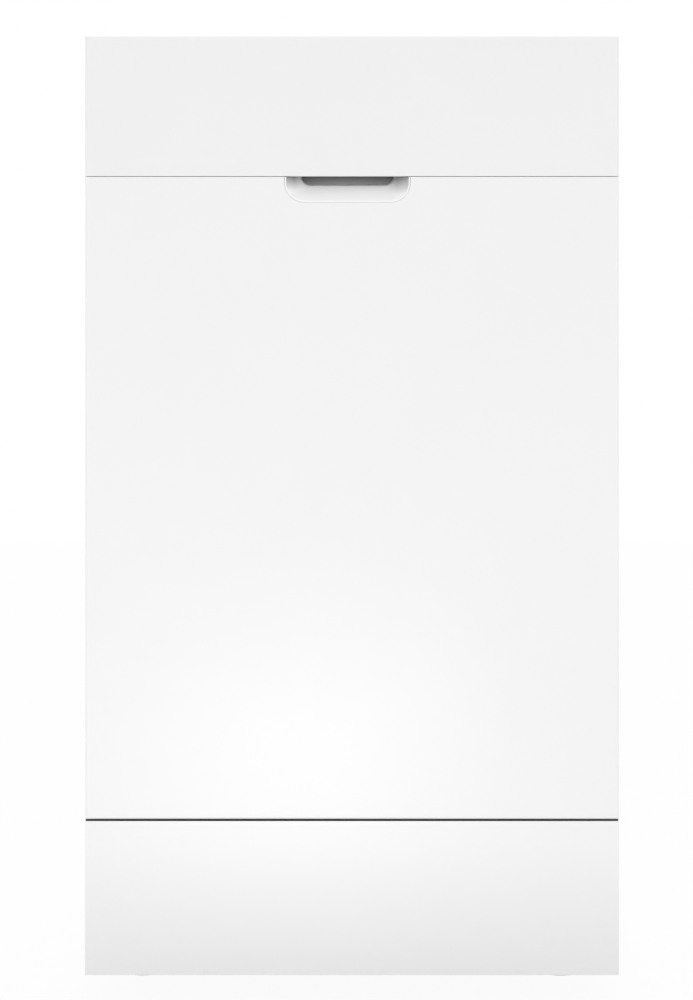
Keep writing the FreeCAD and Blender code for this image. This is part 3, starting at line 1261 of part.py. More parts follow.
def door_liner():
    """Stainless inner door: pressed tray with side flanges, a latch slot and the dispenser cut-out."""
    low = HINGE_Z - LINER_FOOT_DROP
    outer = block(-FLANGE_X, FLANGE_X, RETURN_Y, LINER_Y, low, LINER_TOP)
    inner = block(
        -FLANGE_X + TUB_SHEET, FLANGE_X - TUB_SHEET, RETURN_Y - 1, LINER_Y - TUB_SHEET,
        low + TUB_SHEET, LINER_TOP - TUB_SHEET,
    )
    flanges = [
        block(
            side * (FLANGE_X - TUB_SHEET), side * (HALF - 0.5), RETURN_Y, RETURN_Y + TUB_SHEET,
            LINER_FLANGE_Z, LINER_TOP,
        )
        for side in (-1, 1)
    ]
    latch_slot = block(
        -STRIKE_HALF - 2, STRIKE_HALF + 2, LINER_Y - 5, LINER_Y + 5,
        FLANGE_TOP + 5, FLANGE_TOP + 9 + STRIKE_THICKNESS,
    )
    half_w = DISPENSER_WIDTH / 2 + RUNNING_GAP
    half_h = DISPENSER_HEIGHT / 2 + RUNNING_GAP
    window = block(
        DISPENSER_X - half_w, DISPENSER_X + half_w, LINER_Y - 5,
        LINER_Y + 5, DISPENSER_Z - half_h, DISPENSER_Z + half_h,
    )
    body = union([outer.cut(inner)] + flanges)
    return body.cut(Part.makeCompound([latch_slot, window] + door_screw_holes()))


def control_strip():
    """Moulded strip on the door's top edge with openings for the buttons and the display."""
    low = HEIGHT - STRIP_THICKNESS
    half = HALF - FASCIA_WALL - RUNNING_GAP
    plate = block(-half, half, FRONT + FASCIA_WALL + RUNNING_GAP, LINER_Y - 0.5, low, HEIGHT)
    skirt = block(-FLANGE_X, FLANGE_X, LINER_Y - 3, LINER_Y - 0.5, LINER_TOP, low)
    posts = [
        rod(vec(x, y, BOARD_TOP), vec(x, y, low), 2.2)
        for x in (-HALF + BOARD_POST_INSET, 0, HALF - BOARD_POST_INSET)
        for y in (CONTROL_Y - 10.5, CONTROL_Y + 9.5)
    ]
    cuts = []
    for x in BUTTON_X.values():
        cuts.append(button_shape(x, RUNNING_GAP, low - 1, HEIGHT + 1))
    cuts.append(display_shape(PULL_FIT, low - 1, HEIGHT + 1))
    return union([plate, skirt] + posts).cut(Part.makeCompound(cuts))


def button_shape(x, grow, z0, z1):
    half_x = BUTTON_LENGTH / 2 + grow
    half_y = BUTTON_DEPTH / 2 + grow
    return rounded_block(
        x - half_x, x + half_x, CONTROL_Y - half_y, CONTROL_Y + half_y, z0, z1, 3.0 + grow, Z_AXIS,
    )


def display_shape(grow, z0, z1):
    half_x = DISPLAY_LENGTH / 2 + grow
    half_y = 7.0 + grow
    return rounded_block(
        DISPLAY_X - half_x, DISPLAY_X + half_x, CONTROL_Y - half_y,
        CONTROL_Y + half_y, z0, z1, 2.0 + grow, Z_AXIS,
    )


def push_button(x):
    """Push button that stands flush in the strip, held from below by its own flange."""
    low = HEIGHT - STRIP_THICKNESS
    pad = button_shape(x, 0, low - RUNNING_GAP, HEIGHT)
    flange = button_shape(x, BUTTON_FLANGE, low - RUNNING_GAP - 1.5, low - RUNNING_GAP)
    stem = rod(vec(x, CONTROL_Y, BOARD_TOP + BUTTON_TRAVEL + 1.2), vec(x, CONTROL_Y, low - 1), 2.5)
    return union([pad, flange, stem])


def display_window():
    """Dark clear window over the display."""
    low = HEIGHT - STRIP_THICKNESS
    return union([display_shape(0, low, HEIGHT), display_shape(2.5, low - 1.5, low)])


def control_board():
    """Circuit board under the strip with its switches, processor, relays and connector."""
    board = block(
        -HALF + BOARD_INSET, HALF - BOARD_INSET, CONTROL_Y - 13, CONTROL_Y + 12,
        BOARD_TOP - BOARD_THICKNESS, BOARD_TOP,
    )
    above = [
        block(x - 3, x + 3, CONTROL_Y - 3, CONTROL_Y + 3, BOARD_TOP, BOARD_TOP + 1.0)
        for x in BUTTON_X.values()
    ]
    above.append(
        block(DISPLAY_X - 30, DISPLAY_X + 30, CONTROL_Y - 6, CONTROL_Y + 6, BOARD_TOP, BOARD_TOP + 6),
    )
    low = BOARD_TOP - BOARD_THICKNESS
    below = [
        block(-60, -44, CONTROL_Y - 8, CONTROL_Y + 8, low - 2, low),
        block(-20, 2, CONTROL_Y - 8, CONTROL_Y + 6, low - 14, low),
        block(20, 42, CONTROL_Y - 8, CONTROL_Y + 6, low - 14, low),
        block(HALF - 84, HALF - 44, CONTROL_Y - 7, CONTROL_Y + 7, low - 9, low),
        rod(vec(-96, CONTROL_Y, low - 16), vec(-96, CONTROL_Y, low), 6),
    ]
    return union([board] + above + below)


def latch_housing():
    """Moulded latch behind the inner door; the strike tongue slides into its slot."""
    body = block(-26, 26, LINER_Y - 23.5, LINER_Y - TUB_SHEET, FLANGE_TOP - 2, LINER_TOP - TUB_SHEET)
    slot = block(
        -STRIKE_HALF - 1.5, STRIKE_HALF + 1.5, LINER_Y - STRIKE_REACH - 3.5, LINER_Y,
        FLANGE_TOP + 5.5, FLANGE_TOP + 8.5 + STRIKE_THICKNESS,
    )
    return body.cut(slot)


def dispenser_body():
    """Moulded dispenser in the inner door: open detergent pocket, lid guides and a rinse-aid filler."""
    x0 = DISPENSER_X - DISPENSER_WIDTH / 2
    x1 = DISPENSER_X + DISPENSER_WIDTH / 2
    z0 = DISPENSER_Z - DISPENSER_HEIGHT / 2
    z1 = DISPENSER_Z + DISPENSER_HEIGHT / 2
    box = block(x0, x1, DISPENSER_FACE - DISPENSER_DEPTH, LINER_Y, z0, z1)
    rim = rounded_block(x0 - 5, x1 + 5, LINER_Y, DISPENSER_FACE, z0 - 5, z1 + 5, 10, Y_AXIS)
    pocket = rounded_block(
        LID_X - LID_WIDTH / 2 + 7, LID_X + LID_WIDTH / 2 - 7,
        DISPENSER_FACE - DISPENSER_DEPTH + 4, DISPENSER_FACE + 5,
        LID_Z - LID_HEIGHT / 2 + 6, LID_Z + LID_HEIGHT / 2 - 6, 8, Y_AXIS,
    )
    dish = rod(
        vec(
            CAP_X, DISPENSER_FACE - CAP_SEAT, CAP_Z,
        ), vec(CAP_X, DISPENSER_FACE + 5, CAP_Z), RINSE_CAP_RADIUS + RUNNING_GAP,
    )
    neck = rod(
        vec(
            CAP_X, DISPENSER_FACE - CAP_SEAT - 12, CAP_Z,
        ), vec(CAP_X, DISPENSER_FACE, CAP_Z), CAP_PLUG_RADIUS + HINGE_PIN_FIT,
    )
    low = z0 + 1
    high = LID_Z + LID_HEIGHT / 2 + 3
    guides = []
    for side in (-1, 1):
        edge = LID_X + side * (LID_WIDTH / 2 + RUNNING_GAP)
        wall = block(edge, edge + side * 2, DISPENSER_FACE, LID_FACE + 2, low, high)
        lip = block(edge - side * 2.5, edge, LID_FACE + RUNNING_GAP, LID_FACE + 2, low, high)
        guides += [wall, lip]
    body = union([box, rim] + guides)
    return body.cut(Part.makeCompound([pocket, dish, neck]))


def dispenser_lid():
    """Sliding lid over the detergent pocket, with a raised finger ridge."""
    plate = block(
        LID_X - LID_WIDTH / 2, LID_X + LID_WIDTH / 2, DISPENSER_FACE + RUNNING_GAP, LID_FACE,
        LID_Z - LID_HEIGHT / 2, LID_Z + LID_HEIGHT / 2,
    )
    ridge = rounded_block(
        LID_X - 22, LID_X + 22, LID_FACE, LID_FACE + 2, LID_Z - 16, LID_Z - 8, 3, Y_AXIS,
    )
    return union([plate, ridge])


def rinse_cap():
    """Quarter-turn cap on the rinse-aid filler with a raised bar."""
    seat = DISPENSER_FACE - CAP_SEAT + RUNNING_GAP
    disc = rod(vec(CAP_X, seat, CAP_Z), vec(CAP_X, DISPENSER_FACE + 0.5, CAP_Z), RINSE_CAP_RADIUS)
    plug = rod(vec(CAP_X, seat - 9, CAP_Z), vec(CAP_X, seat, CAP_Z), CAP_PLUG_RADIUS)
    bar = block(CAP_X - 3, CAP_X + 3, DISPENSER_FACE, DISPENSER_FACE + 4, CAP_Z - 14, CAP_Z + 14)
    return union([disc, plug, bar])


# Racks


def rack_layout(half_width, low_z, height):
    """Centre lines of one wire rack, so that its wires touch without running through each other."""
    touch = WIRE_RADIUS + THIN_WIRE_RADIUS - WIRE_SINK
    butt = THIN_WIRE_RADIUS - WIRE_SINK
    lay = {
        "rim_x": half_width - WIRE_RADIUS, "front_rim": RACK_FRONT + WIRE_RADIUS,
        "rear_rim": RACK_REAR - WIRE_RADIUS,
    }
    lay["post_x"] = lay["rim_x"] - touch
    lay["cross_end"] = lay["post_x"] - butt
    lay["front_post"] = lay["front_rim"] + touch
    lay["rear_post"] = lay["rear_rim"] - touch
    lay["long_front"] = lay["front_post"] + butt
    lay["long_rear"] = lay["rear_post"] - butt
    lay["cross_z"] = low_z
    lay["long_z"] = low_z - touch
    lay["top_z"] = low_z + height - WIRE_RADIUS
    first = lay["long_front"] + 26
    last = lay["long_rear"] - 26
    lay["cross_y"] = [first + (last - first) * i / (CROSS_WIRES - 1) for i in range(CROSS_WIRES)]
    edge = lay["cross_end"] - 10
    lay["long_x"] = [-edge + 2 * edge * i / (LONG_WIRES - 1) for i in range(LONG_WIRES)]
    return lay


def wire_rack(lay, mid_z):
    """Straight wires of one rack: floor grid, posts on all four sides and two rims."""
    wires = []
    for y in lay["cross_y"]:
        wires.append(
            rod(
                vec(-lay["cross_end"], y, lay["cross_z"]), vec(lay["cross_end"], y, lay["cross_z"]),
                THIN_WIRE_RADIUS,
            ),
        )
        for side in (-1, 1):
            x = side * lay["post_x"]
            wires.append(
                rod(vec(x, y, lay["cross_z"] - 4), vec(x, y, lay["top_z"] + WIRE_RADIUS), THIN_WIRE_RADIUS),
            )
    for x in lay["long_x"]:
        wires.append(
            rod(
                vec(x, lay["long_front"], lay["long_z"]), vec(x, lay["long_rear"], lay["long_z"]),
                WIRE_RADIUS,
            ),
        )
        for y in (lay["front_post"], lay["rear_post"]):
            wires.append(
                rod(vec(x, y, lay["long_z"] - 4), vec(x, y, lay["top_z"] + WIRE_RADIUS), THIN_WIRE_RADIUS),
            )
    for z in (mid_z, lay["top_z"]):
        reach = lay["rim_x"] + WIRE_RADIUS
        for y in (lay["front_rim"], lay["rear_rim"]):
            wires.append(rod(vec(-reach, y, z), vec(reach, y, z), WIRE_RADIUS))
        butt = WIRE_RADIUS - WIRE_SINK
        for side in (-1, 1):
            x = side * lay["rim_x"]
            wires.append(
                rod(vec(x, lay["front_rim"] + butt, z), vec(x, lay["rear_rim"] - butt, z), WIRE_RADIUS),
            )
    return wires


LOWER_LAYOUT = rack_layout(LOWER_RACK_HALF_WIDTH, LOWER_RACK_Z, LOWER_RACK_HEIGHT)
UPPER_LAYOUT = rack_layout(UPPER_RACK_HALF_WIDTH, UPPER_RACK_Z, UPPER_RACK_HEIGHT)
FRONT_WHEEL_Y = LOWER_LAYOUT["cross_y"][2]
REAR_WHEEL_Y = LOWER_LAYOUT["cross_y"][5]
FOLD_Y = LOWER_LAYOUT["cross_y"][4]


def lower_rack():
    """Lower wire rack with wheel brackets, a fixed row of tines and the clips of the folding row."""
    lay = LOWER_LAYOUT
    wires = wire_rack(lay, LOWER_RACK_Z + LOWER_RACK_HEIGHT * 0.55)
    for y in (FRONT_WHEEL_Y, REAR_WHEEL_Y):
        inner = lay["post_x"] + THIN_WIRE_RADIUS - WIRE_SINK
        plate = block(inner, inner + 4, y - 11, y + 11, AXLE_Z - 9, LOWER_RACK_Z + 44)
        axle = rod(
            vec(inner, y, AXLE_Z), vec(WHEEL_X + WHEEL_WIDTH / 2 + RUNNING_GAP, y, AXLE_Z),
            WHEEL_AXLE_RADIUS,
        )
        cap = rod(
            vec(WHEEL_X + WHEEL_WIDTH / 2 + RUNNING_GAP, y, AXLE_Z),
            vec(WHEEL_X + WHEEL_WIDTH / 2 + RUNNING_GAP + 2, y, AXLE_Z), WHEEL_AXLE_RADIUS + 2,
        )
        shoulder = rod(
            vec(inner, y, AXLE_Z), vec(
                WHEEL_X - WHEEL_WIDTH / 2 - RUNNING_GAP, y, AXLE_Z,
            ), WHEEL_AXLE_RADIUS + 2,
        )
        bracket = union([plate, axle, cap, shoulder])
        wires += [bracket, mirrored(bracket)]
    for x in tine_places():
        foot_z = lay["cross_z"] + THIN_WIRE_RADIUS - WIRE_SINK
        y = lay["cross_y"][3]
        wires.append(rod(vec(x, y, foot_z), vec(x, y, foot_z + TINE_HEIGHT), THIN_WIRE_RADIUS))
    for x in (FOLD_LEFT + 30, FOLD_RIGHT - 30):
        clip = block(
            x - 4, x + 4, FOLD_Y - 5, FOLD_Y + 5,
            lay["cross_z"] + THIN_WIRE_RADIUS - WIRE_SINK, FOLD_Z + 5,
        )
        bore = rod(
            vec(x - 10, FOLD_Y, FOLD_Z), vec(x + 10, FOLD_Y, FOLD_Z), THIN_WIRE_RADIUS + HINGE_PIN_FIT,
        )
        wires.append(clip.cut(bore))
    return Part.makeCompound(wires)


def tine_places():
    return [(i - (TINE_COUNT - 1) / 2) * TINE_PITCH for i in range(TINE_COUNT)]


def folding_tines():
    """Row of plate tines on one bar that folds flat."""
    bar = rod(vec(FOLD_LEFT, FOLD_Y, FOLD_Z), vec(FOLD_RIGHT, FOLD_Y, FOLD_Z), THIN_WIRE_RADIUS)
    tines = [
        rod(vec(x, FOLD_Y, FOLD_Z), vec(x, FOLD_Y, FOLD_Z + TINE_HEIGHT), THIN_WIRE_RADIUS)
        for x in tine_places()
    ]
    return union([bar] + tines)


def wheels(y):
    """A pair of plain rack wheels on their stub axles."""
    left = WHEEL_X - WHEEL_WIDTH / 2
    right = WHEEL_X + WHEEL_WIDTH / 2
    wheel = rod(vec(left, y, AXLE_Z), vec(right, y, AXLE_Z), WHEEL_RADIUS - 0.1)
    groove = rod(vec(right - 2, y, AXLE_Z), vec(right + 1, y, AXLE_Z), WHEEL_RADIUS - 4)
    boss = rod(vec(right - 2, y, AXLE_Z), vec(right, y, AXLE_Z), WHEEL_AXLE_RADIUS + 3)
    bore = rod(vec(left - 1, y, AXLE_Z), vec(right + 1, y, AXLE_Z), WHEEL_AXLE_RADIUS + HINGE_PIN_FIT)
    return both_sides(union([wheel.cut(groove), boss]).cut(bore))


def cutlery_basket():
    """Moulded cutlery basket with slotted walls, two dividers and a carrying arch."""
    x0, x1 = BASKET_X
    y0, y1 = BASKET_Y
    low = LOWER_RACK_Z + THIN_WIRE_RADIUS
    high = low + BASKET_HEIGHT
    wall = 2.2
    body = rounded_block(x0, x1, y0, y1, low, high, 8, Z_AXIS)
    hollow = rounded_block(x0 + wall, x1 - wall, y0 + wall, y1 - wall, low + wall, high + 1, 6, Z_AXIS)
    body = body.cut(hollow)
    slots = []
    step = 14.0
    z_rows = ((low + 14, low + 48), (low + 58, low + 92))
    for z0, z1 in z_rows:
        for i in range(int((x1 - x0 - 24) / step) + 1):
            x = x0 + 12 + step * i
            slots.append(block(x - 3, x + 3, y0 - 1, y1 + 1, z0, z1))
        for i in range(int((y1 - y0 - 24) / step) + 1):
            y = y0 + 12 + step * i
            slots.append(block(x0 - 1, x1 + 1, y - 3, y + 3, z0, z1))
    body = body.cut(Part.makeCompound(slots))
    third = (y1 - y0) / 3
    dividers = [
        block(
            x0 + wall, x1 - wall, y0 + third * i - 1, y0 + third * i + 1, low + wall, high - 8,
        ) for i in (1, 2)
    ]
    middle = (x0 + x1) / 2
    arch_low = block(middle - 6, middle + 6, y0 + third - 2, y0 + 2 * third + 2, high + 26, high + 33)
    posts = [
        block(
            middle - 6, middle + 6, y0 + third * i - 2, y0 + third * i + 2, high - 40, high + 33,
        ) for i in (1, 2)
    ]
    return union([body] + dividers + posts + [arch_low])


def upper_rack():
    """Upper wire rack with a row of tines and a runner on each side that slides in the wall rails."""
    lay = UPPER_LAYOUT
    middle = RAIL_Z + RAIL_HEIGHT / 2
    wires = wire_rack(lay, middle)
    inner = lay["rim_x"] + WIRE_RADIUS - 0.02
    lip_face = TUB_IN_X - RAIL_DEPTH + RAIL_SHEET
    web = block(inner, lip_face + 0.8, RAIL_FRONT + 4, RACK_REAR, middle - 4, middle + 4)
    head = block(
        lip_face + 0.8, TUB_IN_X - RAIL_SHEET - 0.8, RAIL_FRONT + 4, RACK_REAR,
        RAIL_Z + RAIL_SHEET + 0.6, RAIL_Z + RAIL_HEIGHT - RAIL_SHEET - 0.6,
    )
    wires += [web, head, mirrored(web), mirrored(head)]
    for x in tine_places():
        for y in (lay["cross_y"][2], lay["cross_y"][4]):
            foot_z = lay["cross_z"] + THIN_WIRE_RADIUS - WIRE_SINK
            wires.append(rod(vec(x, y, foot_z), vec(x, y, foot_z + 40), THIN_WIRE_RADIUS))
    return Part.makeCompound(wires)


def pieces():
    """Every named piece of the dishwasher."""
    feet = foot_places()
    return {
        "base_tray": base_tray(),
        "left_side_panel": side_panel(-1),
        "right_side_panel": side_panel(1),
        "top_cover": top_cover(),
        "rear_panel": rear_panel(),
        "worktop_brackets": worktop_brackets(),
        "tub_shell": tub_shell(),
        "tub_rear_wall": tub_rear_wall(),
        "tub_floor": tub_floor(),
        "door_seal": door_seal(),
        "strike_plate": strike_plate(),
        "rack_rails": rack_rails(),
        "sump": sump(),
        "fine_filter": fine_filter(),
        "filter_cup": filter_cup(),
        "circulation_pump": circulation_pump(),
        "pump_impeller": pump_impeller(),
        "drain_pump": drain_pump(),
        "inner_hoses": inner_hoses(),
        "drain_outlet": drain_outlet(),
        "inlet_valve": inlet_valve(),
        "mains_inlet": mains_inlet(),
        "water_softener": water_softener(),
        "salt_cap": salt_cap(),
        "air_break_tank": air_break_tank(),
        "feed_duct": feed_duct(),
        "ceiling_sprayer": ceiling_sprayer(),
        "spray_hub": spray_hub(),
        "lower_spray_arm": lower_spray_arm(),
        "upper_spray_arm": upper_spray_arm(),
        "upper_manifold": upper_manifold(),
        "plinth_panel": plinth_panel(),
        "plinth_screws": plinth_screws(),
        "foot_front_left": foot(*feet[0]),
        "foot_front_right": foot(*feet[1]),
        "rear_feet": Part.makeCompound([foot(*feet[2]), foot(*feet[3])]),
        "hinge_brackets": hinge_brackets(),
        "hinge_arms": hinge_arms(),
        "hinge_springs": hinge_springs(),
        "door_panel": door_panel(),
        "control_fascia": control_fascia(),
        "handle_pocket": handle_pocket(),
        "door_liner": door_liner(),
        "door_screws": door_screws(),
        "control_strip": control_strip(),
        "display_window": display_window(),
        "control_board": control_board(),
        "latch_housing": latch_housing(),
        "dispenser_body": dispenser_body(),
        "dispenser_lid": dispenser_lid(),
        "rinse_cap": rinse_cap(),
        "power_button": push_button(BUTTON_X["power_button"]),
        "program_button": push_button(BUTTON_X["program_button"]),
        "start_button": push_button(BUTTON_X["start_button"]),
        "lower_rack": lower_rack(),
        "folding_tines": folding_tines(),
        "cutlery_basket": cutlery_basket(),
        "front_wheels": wheels(FRONT_WHEEL_Y),
        "rear_wheels": wheels(REAR_WHEEL_Y),
        "upper_rack": upper_rack(),
    }


os.makedirs("parts", exist_ok=True)
for name, shape in pieces().items():
    shape.exportStep("parts/" + name + ".step")
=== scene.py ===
"""Slimline built-under dishwasher: finishes, bent wire racks, softened panels and a plain studio."""

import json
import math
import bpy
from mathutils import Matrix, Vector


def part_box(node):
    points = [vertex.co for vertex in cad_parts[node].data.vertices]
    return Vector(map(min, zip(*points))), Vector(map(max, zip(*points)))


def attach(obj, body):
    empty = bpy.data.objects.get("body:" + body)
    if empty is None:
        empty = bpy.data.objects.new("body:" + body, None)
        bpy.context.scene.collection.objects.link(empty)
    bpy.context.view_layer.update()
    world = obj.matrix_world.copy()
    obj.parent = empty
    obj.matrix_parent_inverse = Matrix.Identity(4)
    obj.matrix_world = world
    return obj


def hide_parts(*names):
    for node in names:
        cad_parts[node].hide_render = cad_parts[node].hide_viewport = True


bl_info = {
    "name": "Slimline dishwasher",
    "version": (1, 0, 0),
    "blender": (4, 5, 0),
    "location": "View3D > Sidebar > Dishwasher",
    "description": "Dresses the packed dishwasher model: panels, pull, racks, seal, controls and studio",
    "category": "Object",
}

import bmesh
import bpy
from mathutils import Vector

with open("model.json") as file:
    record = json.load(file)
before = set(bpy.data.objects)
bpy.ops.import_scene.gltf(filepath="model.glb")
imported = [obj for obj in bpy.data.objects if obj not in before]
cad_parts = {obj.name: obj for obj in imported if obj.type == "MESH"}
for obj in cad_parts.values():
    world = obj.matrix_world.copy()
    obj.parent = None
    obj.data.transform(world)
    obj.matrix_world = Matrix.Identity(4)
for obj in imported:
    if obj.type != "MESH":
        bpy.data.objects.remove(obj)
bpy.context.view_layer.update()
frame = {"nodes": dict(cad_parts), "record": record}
NODES = frame["nodes"]
BODY_OF = {n: b for b, names in frame["record"]["behaviour"]["bodies"].items() for n in names}
SLOT_OF = {p["node"]: p["material_slot"] for p in frame["record"]["subparts"]}

FRONT_LOW, FRONT_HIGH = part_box("door_panel")
PLINTH_LOW, PLINTH_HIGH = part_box("plinth_panel")
PULL_LOW, PULL_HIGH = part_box("handle_pocket")
LOWER_LOW, LOWER_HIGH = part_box("lower_rack")
UPPER_LOW, UPPER_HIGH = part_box("upper_rack")

# Distances in metres within which points are merged or count as lying on an edge
MERGE = 0.00001
MERGE_PRINT = 0.000001
NEAR = 0.0001
# Angles: one flat sheet below the first, smooth shading below the next, rounded edges above the third
FLAT_ANGLE = math.radians(0.5)
SMOOTH_ANGLE = math.radians(32)
SHARP_ANGLE = math.radians(35)
WIRE_ANGLE = math.radians(50)
QUARTER_TURN = math.radians(90)
# Cosines of the tilt that a face may have and still count as facing along an axis
FACING = 0.9
FACING_UP = 0.99
# Bend of a hairpin's top as a share of half its width
TINE_BOW = 0.98
# Cross wires of a packed rack, of which some carry tines and wheels
CARRIER_WIRES = 7


def length(name, description, default):
    return bpy.props.FloatProperty(
        name=name, description=description, default=default, unit="LENGTH", precision=5)


def count(name, description, default):
    return bpy.props.IntProperty(name=name, description=description, default=default, min=2)


def tint(name, description, default):
    return bpy.props.FloatVectorProperty(
        name=name, description=description, subtype="COLOR", size=3, default=default, min=0.0, max=1.0)


def share(name, description, default):
    return bpy.props.FloatProperty(
        name=name, description=description, subtype="FACTOR", default=default, min=0.0, max=1.0)


def spot(name, description, default):
    return bpy.props.FloatVectorProperty(
        name=name, description=description, unit="LENGTH", size=len(default), default=default)


class DishwasherSizes(bpy.types.PropertyGroup):
    """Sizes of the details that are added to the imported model."""

    sheet_edge: length("Sheet edge", "Rounding of the cut edges of sheet metal", 0.0003)
    moulded_edge: length("Moulded edge", "Rounding of the edges of moulded pieces", 0.0008)
    fascia_edge: length("Fascia edge", "Rounding of the lower edge of the fascia", 0.0005)
    pull_flange: length("Pull flange", "Width of the hidden flange round the pull", 0.006)
    pull_rim: length("Pull rim", "Radius of the rolled rim of the pull", 0.0008)
    pull_corner: length("Pull corner", "Bend of the rim at the lower corners of the pull", 0.0155)
    pull_lip: length("Pull lip", "Depth of the lip of the pull in front of its hood", 0.014)
    # Sizes of the painted shade of the pull: in its hood under the fascia and at the upper ends of its lip
    hood_shade_height: length("Greyed hood", "Height over which the hood greys under the fascia", 0.0035)
    left_shade_height: length("Grey left height", "Height over which the left end of the lip greys", 0.011)
    right_shade_height: length("Grey right height", "Height over which the right end greys", 0.0145)
    left_shade_start: length("Grey left", "From the pull's middle to where its left end greys", 0.037)
    right_shade_start: length("Grey right", "From the pull's middle to where its right end greys", 0.034)
    end_shade_fade: length("Grey fade", "Width over which an end of the lip greys", 0.0075)
    # Sizes of the dark strip that stands in for the shade in the gap under the door
    foot_setback: length("Lip setback", "Distance of the dark lip from the door's front", 0.0036)
    foot_drop: length("Lip drop", "How far the dark lip hangs under the door", 0.0026)
    foot_thick: length("Lip thickness", "Thickness of the dark lip under the door", 0.0014)
    print_sink: length("Print sink", "Depth of a button's face under the strip", 0.00015)
    print_height: length("Print height", "Thickness of a printed mark", 0.00012)
    print_stroke: length("Print stroke", "Line width of a printed mark", 0.0005)
    seal_bend: length("Seal bend", "Corner bend of the door seal", 0.004)
    rim_wire: length("Rim wire", "Radius of the racks' rim wire", 0.0022)
    thin_wire: length("Thin wire", "Radius of the racks' hoops and tines", 0.0016)
    wire_bend: length("Wire bend", "Bend of a hoop between floor and side", 0.016)
    rim_bend: length("Rim bend", "Corner bend of the racks' rims", 0.024)
    cross_hoops: count("Cross hoops", "Hoops of a rack from side to side", 13)
    long_hoops: count("Long hoops", "Hoops of a rack from front to back", 11)
    hoop_inset: length("Hoop inset", "From a rack's end to its first cross hoop", 0.02752)
    hoop_side: length("Hoop side", "From a rack's side to its first long hoop", 0.00992)
    tine_count: count("Tines", "Hairpin tines in a row", 9)
    tine_pitch: length("Tine pitch", "From one hairpin to the next", 0.028)
    tine_width: length("Tine width", "Width of a hairpin between its wires", 0.012)
    tine_height: length("Tine height", "Height of the plate tines", 0.062)
    cup_tine_height: length("Cup tine height", "Height of the tines in the upper rack", 0.040)
    fold_rise: length("Fold rise", "Height of the folding bar over the rack's floor", 0.011)
    clip_inset: length("Clip inset", "From the end of the folding bar to its clip", 0.030)
    lower_half_width: length("Lower rack half width", "Half the width of the lower rack's rim", 0.178)
    upper_half_width: length("Upper rack half width", "Half the width of the upper rack's rim", 0.176)
    lower_middle_rim: length("Lower middle rim", "Height of the middle rim over the lower floor", 0.0825)
    upper_height: length("Upper rack height", "From the upper rack's floor to its top", 0.130)
    wheel_gap: length("Wheel gap", "Play beside a rack wheel", 0.0003)
    wheel_width: length("Wheel width", "Width of a rack wheel", 0.009)
    rail_depth: length("Rail depth", "How far a rail stands off the tub wall", 0.013)
    rail_sheet: length("Rail sheet", "Thickness of a rail's sheet", 0.0015)
    runner_gap: length("Runner gap", "Play of a runner in its rail", 0.0008)


class DishwasherColours(bpy.types.PropertyGroup):
    """Colours of the finishes, linear."""

    enamel: tint("Enamel", "White stove enamel of the panels", (0.90, 0.90, 0.90))
    moulding: tint("White moulding", "White plastic of the fascia and the pull", (0.885, 0.885, 0.885))
    # The rim's colour is lighter than the moulding's: a painted highlight on a glossier rim
    rim: tint("Rim", "Polished rim of the pull", (0.96, 0.96, 0.96))
    stainless: tint("Stainless", "Brushed steel of the tub and the inner door", (0.62, 0.63, 0.64))
    zinc: tint("Zinc", "Zinc-plated sheet of the cover, back and brackets", (0.52, 0.54, 0.56))
    rubber: tint("Rubber", "Seal and hoses", (0.022, 0.022, 0.024))
    grey: tint("Grey moulding", "Spray arms, basket, wheels and dispenser", (0.36, 0.38, 0.40))
    base: tint("Base moulding", "Dark plastic of the base, sump and latch", (0.055, 0.057, 0.06))
    pale: tint("Pale moulding", "Milky plastic of the water tanks", (0.70, 0.71, 0.69))
    wire_coat: tint("Wire coating", "Nylon coat of the rack wires", (0.55, 0.57, 0.60))
    rinse: tint("Rinse cap", "Blue cap of the rinse-aid filler", (0.03, 0.10, 0.26))
    board: tint("Circuit board", "Solder mask of the circuit board", (0.01, 0.06, 0.025))
    cast: tint("Cast metal", "Aluminium of the pump housing", (0.50, 0.51, 0.52))
    window: tint("Window", "Smoked plastic over the display", (0.012, 0.012, 0.014))
    ink: tint("Ink", "Printed marks on the buttons", (0.13, 0.135, 0.14))


class DishwasherStage(bpy.types.PropertyGroup):
    """Light and camera."""

    air_strength: bpy.props.FloatProperty(
        name="Air", description="Strength of the even light from all round", default=0.97, min=0.0)
    front_power: bpy.props.FloatProperty(
        name="Front lamp", description="Power of the low lamp in front", default=1.8, unit="POWER")
    top_power: bpy.props.FloatProperty(
        name="Top lamp", description="Power of the lamp above", default=6.0, unit="POWER")
    front_place: spot("Front lamp place", "Where the front lamp stands", (-0.07, -1.7, 0.08))
    front_aim: spot("Front lamp aim", "Where the front lamp points", (-0.07, FRONT_LOW.y, 0.28))
    front_size: spot("Front lamp size", "Width and height of the front lamp", (0.3, 0.2))
    top_place: spot("Top lamp place", "Where the top lamp hangs", (0.0, 0.35, 3.2))
    top_aim: spot("Top lamp aim", "Where the top lamp points", (0.0, 0.0, 0.4))
    top_size: spot("Top lamp size", "Width and depth of the top lamp", (1.0, 1.0))
    floor_size: length("Floor size", "Side of the floor", 60.0)
    floor_drop: length("Floor drop", "How far the floor lies under the feet", 0.0002)
    floor_paper: tint("Floor paper", "Colour of the floor's paper", (0.86, 0.86, 0.86))
    floor_white: share("Floor white", "Share of plain white in the floor that shows", 0.95)
    lens: bpy.props.FloatProperty(
        name="Lens", description="Focal length in millimetres", default=120.0, min=1.0)
    sensor: bpy.props.FloatProperty(
        name="Sensor", description="Long side of the sensor in millimetres", default=36.0, min=1.0)
    image_height: count("Image height", "Rows of the photograph", 1000)
    pixel_size: length("Pixel size", "Width of one pixel on the machine's front", 0.00083895)
    centre_x: length("Centre across", "Middle of the image from side to side", -0.0046)
    centre_z: length("Centre height", "Middle of the image above the floor", 0.4256)


# Selecting and shaping


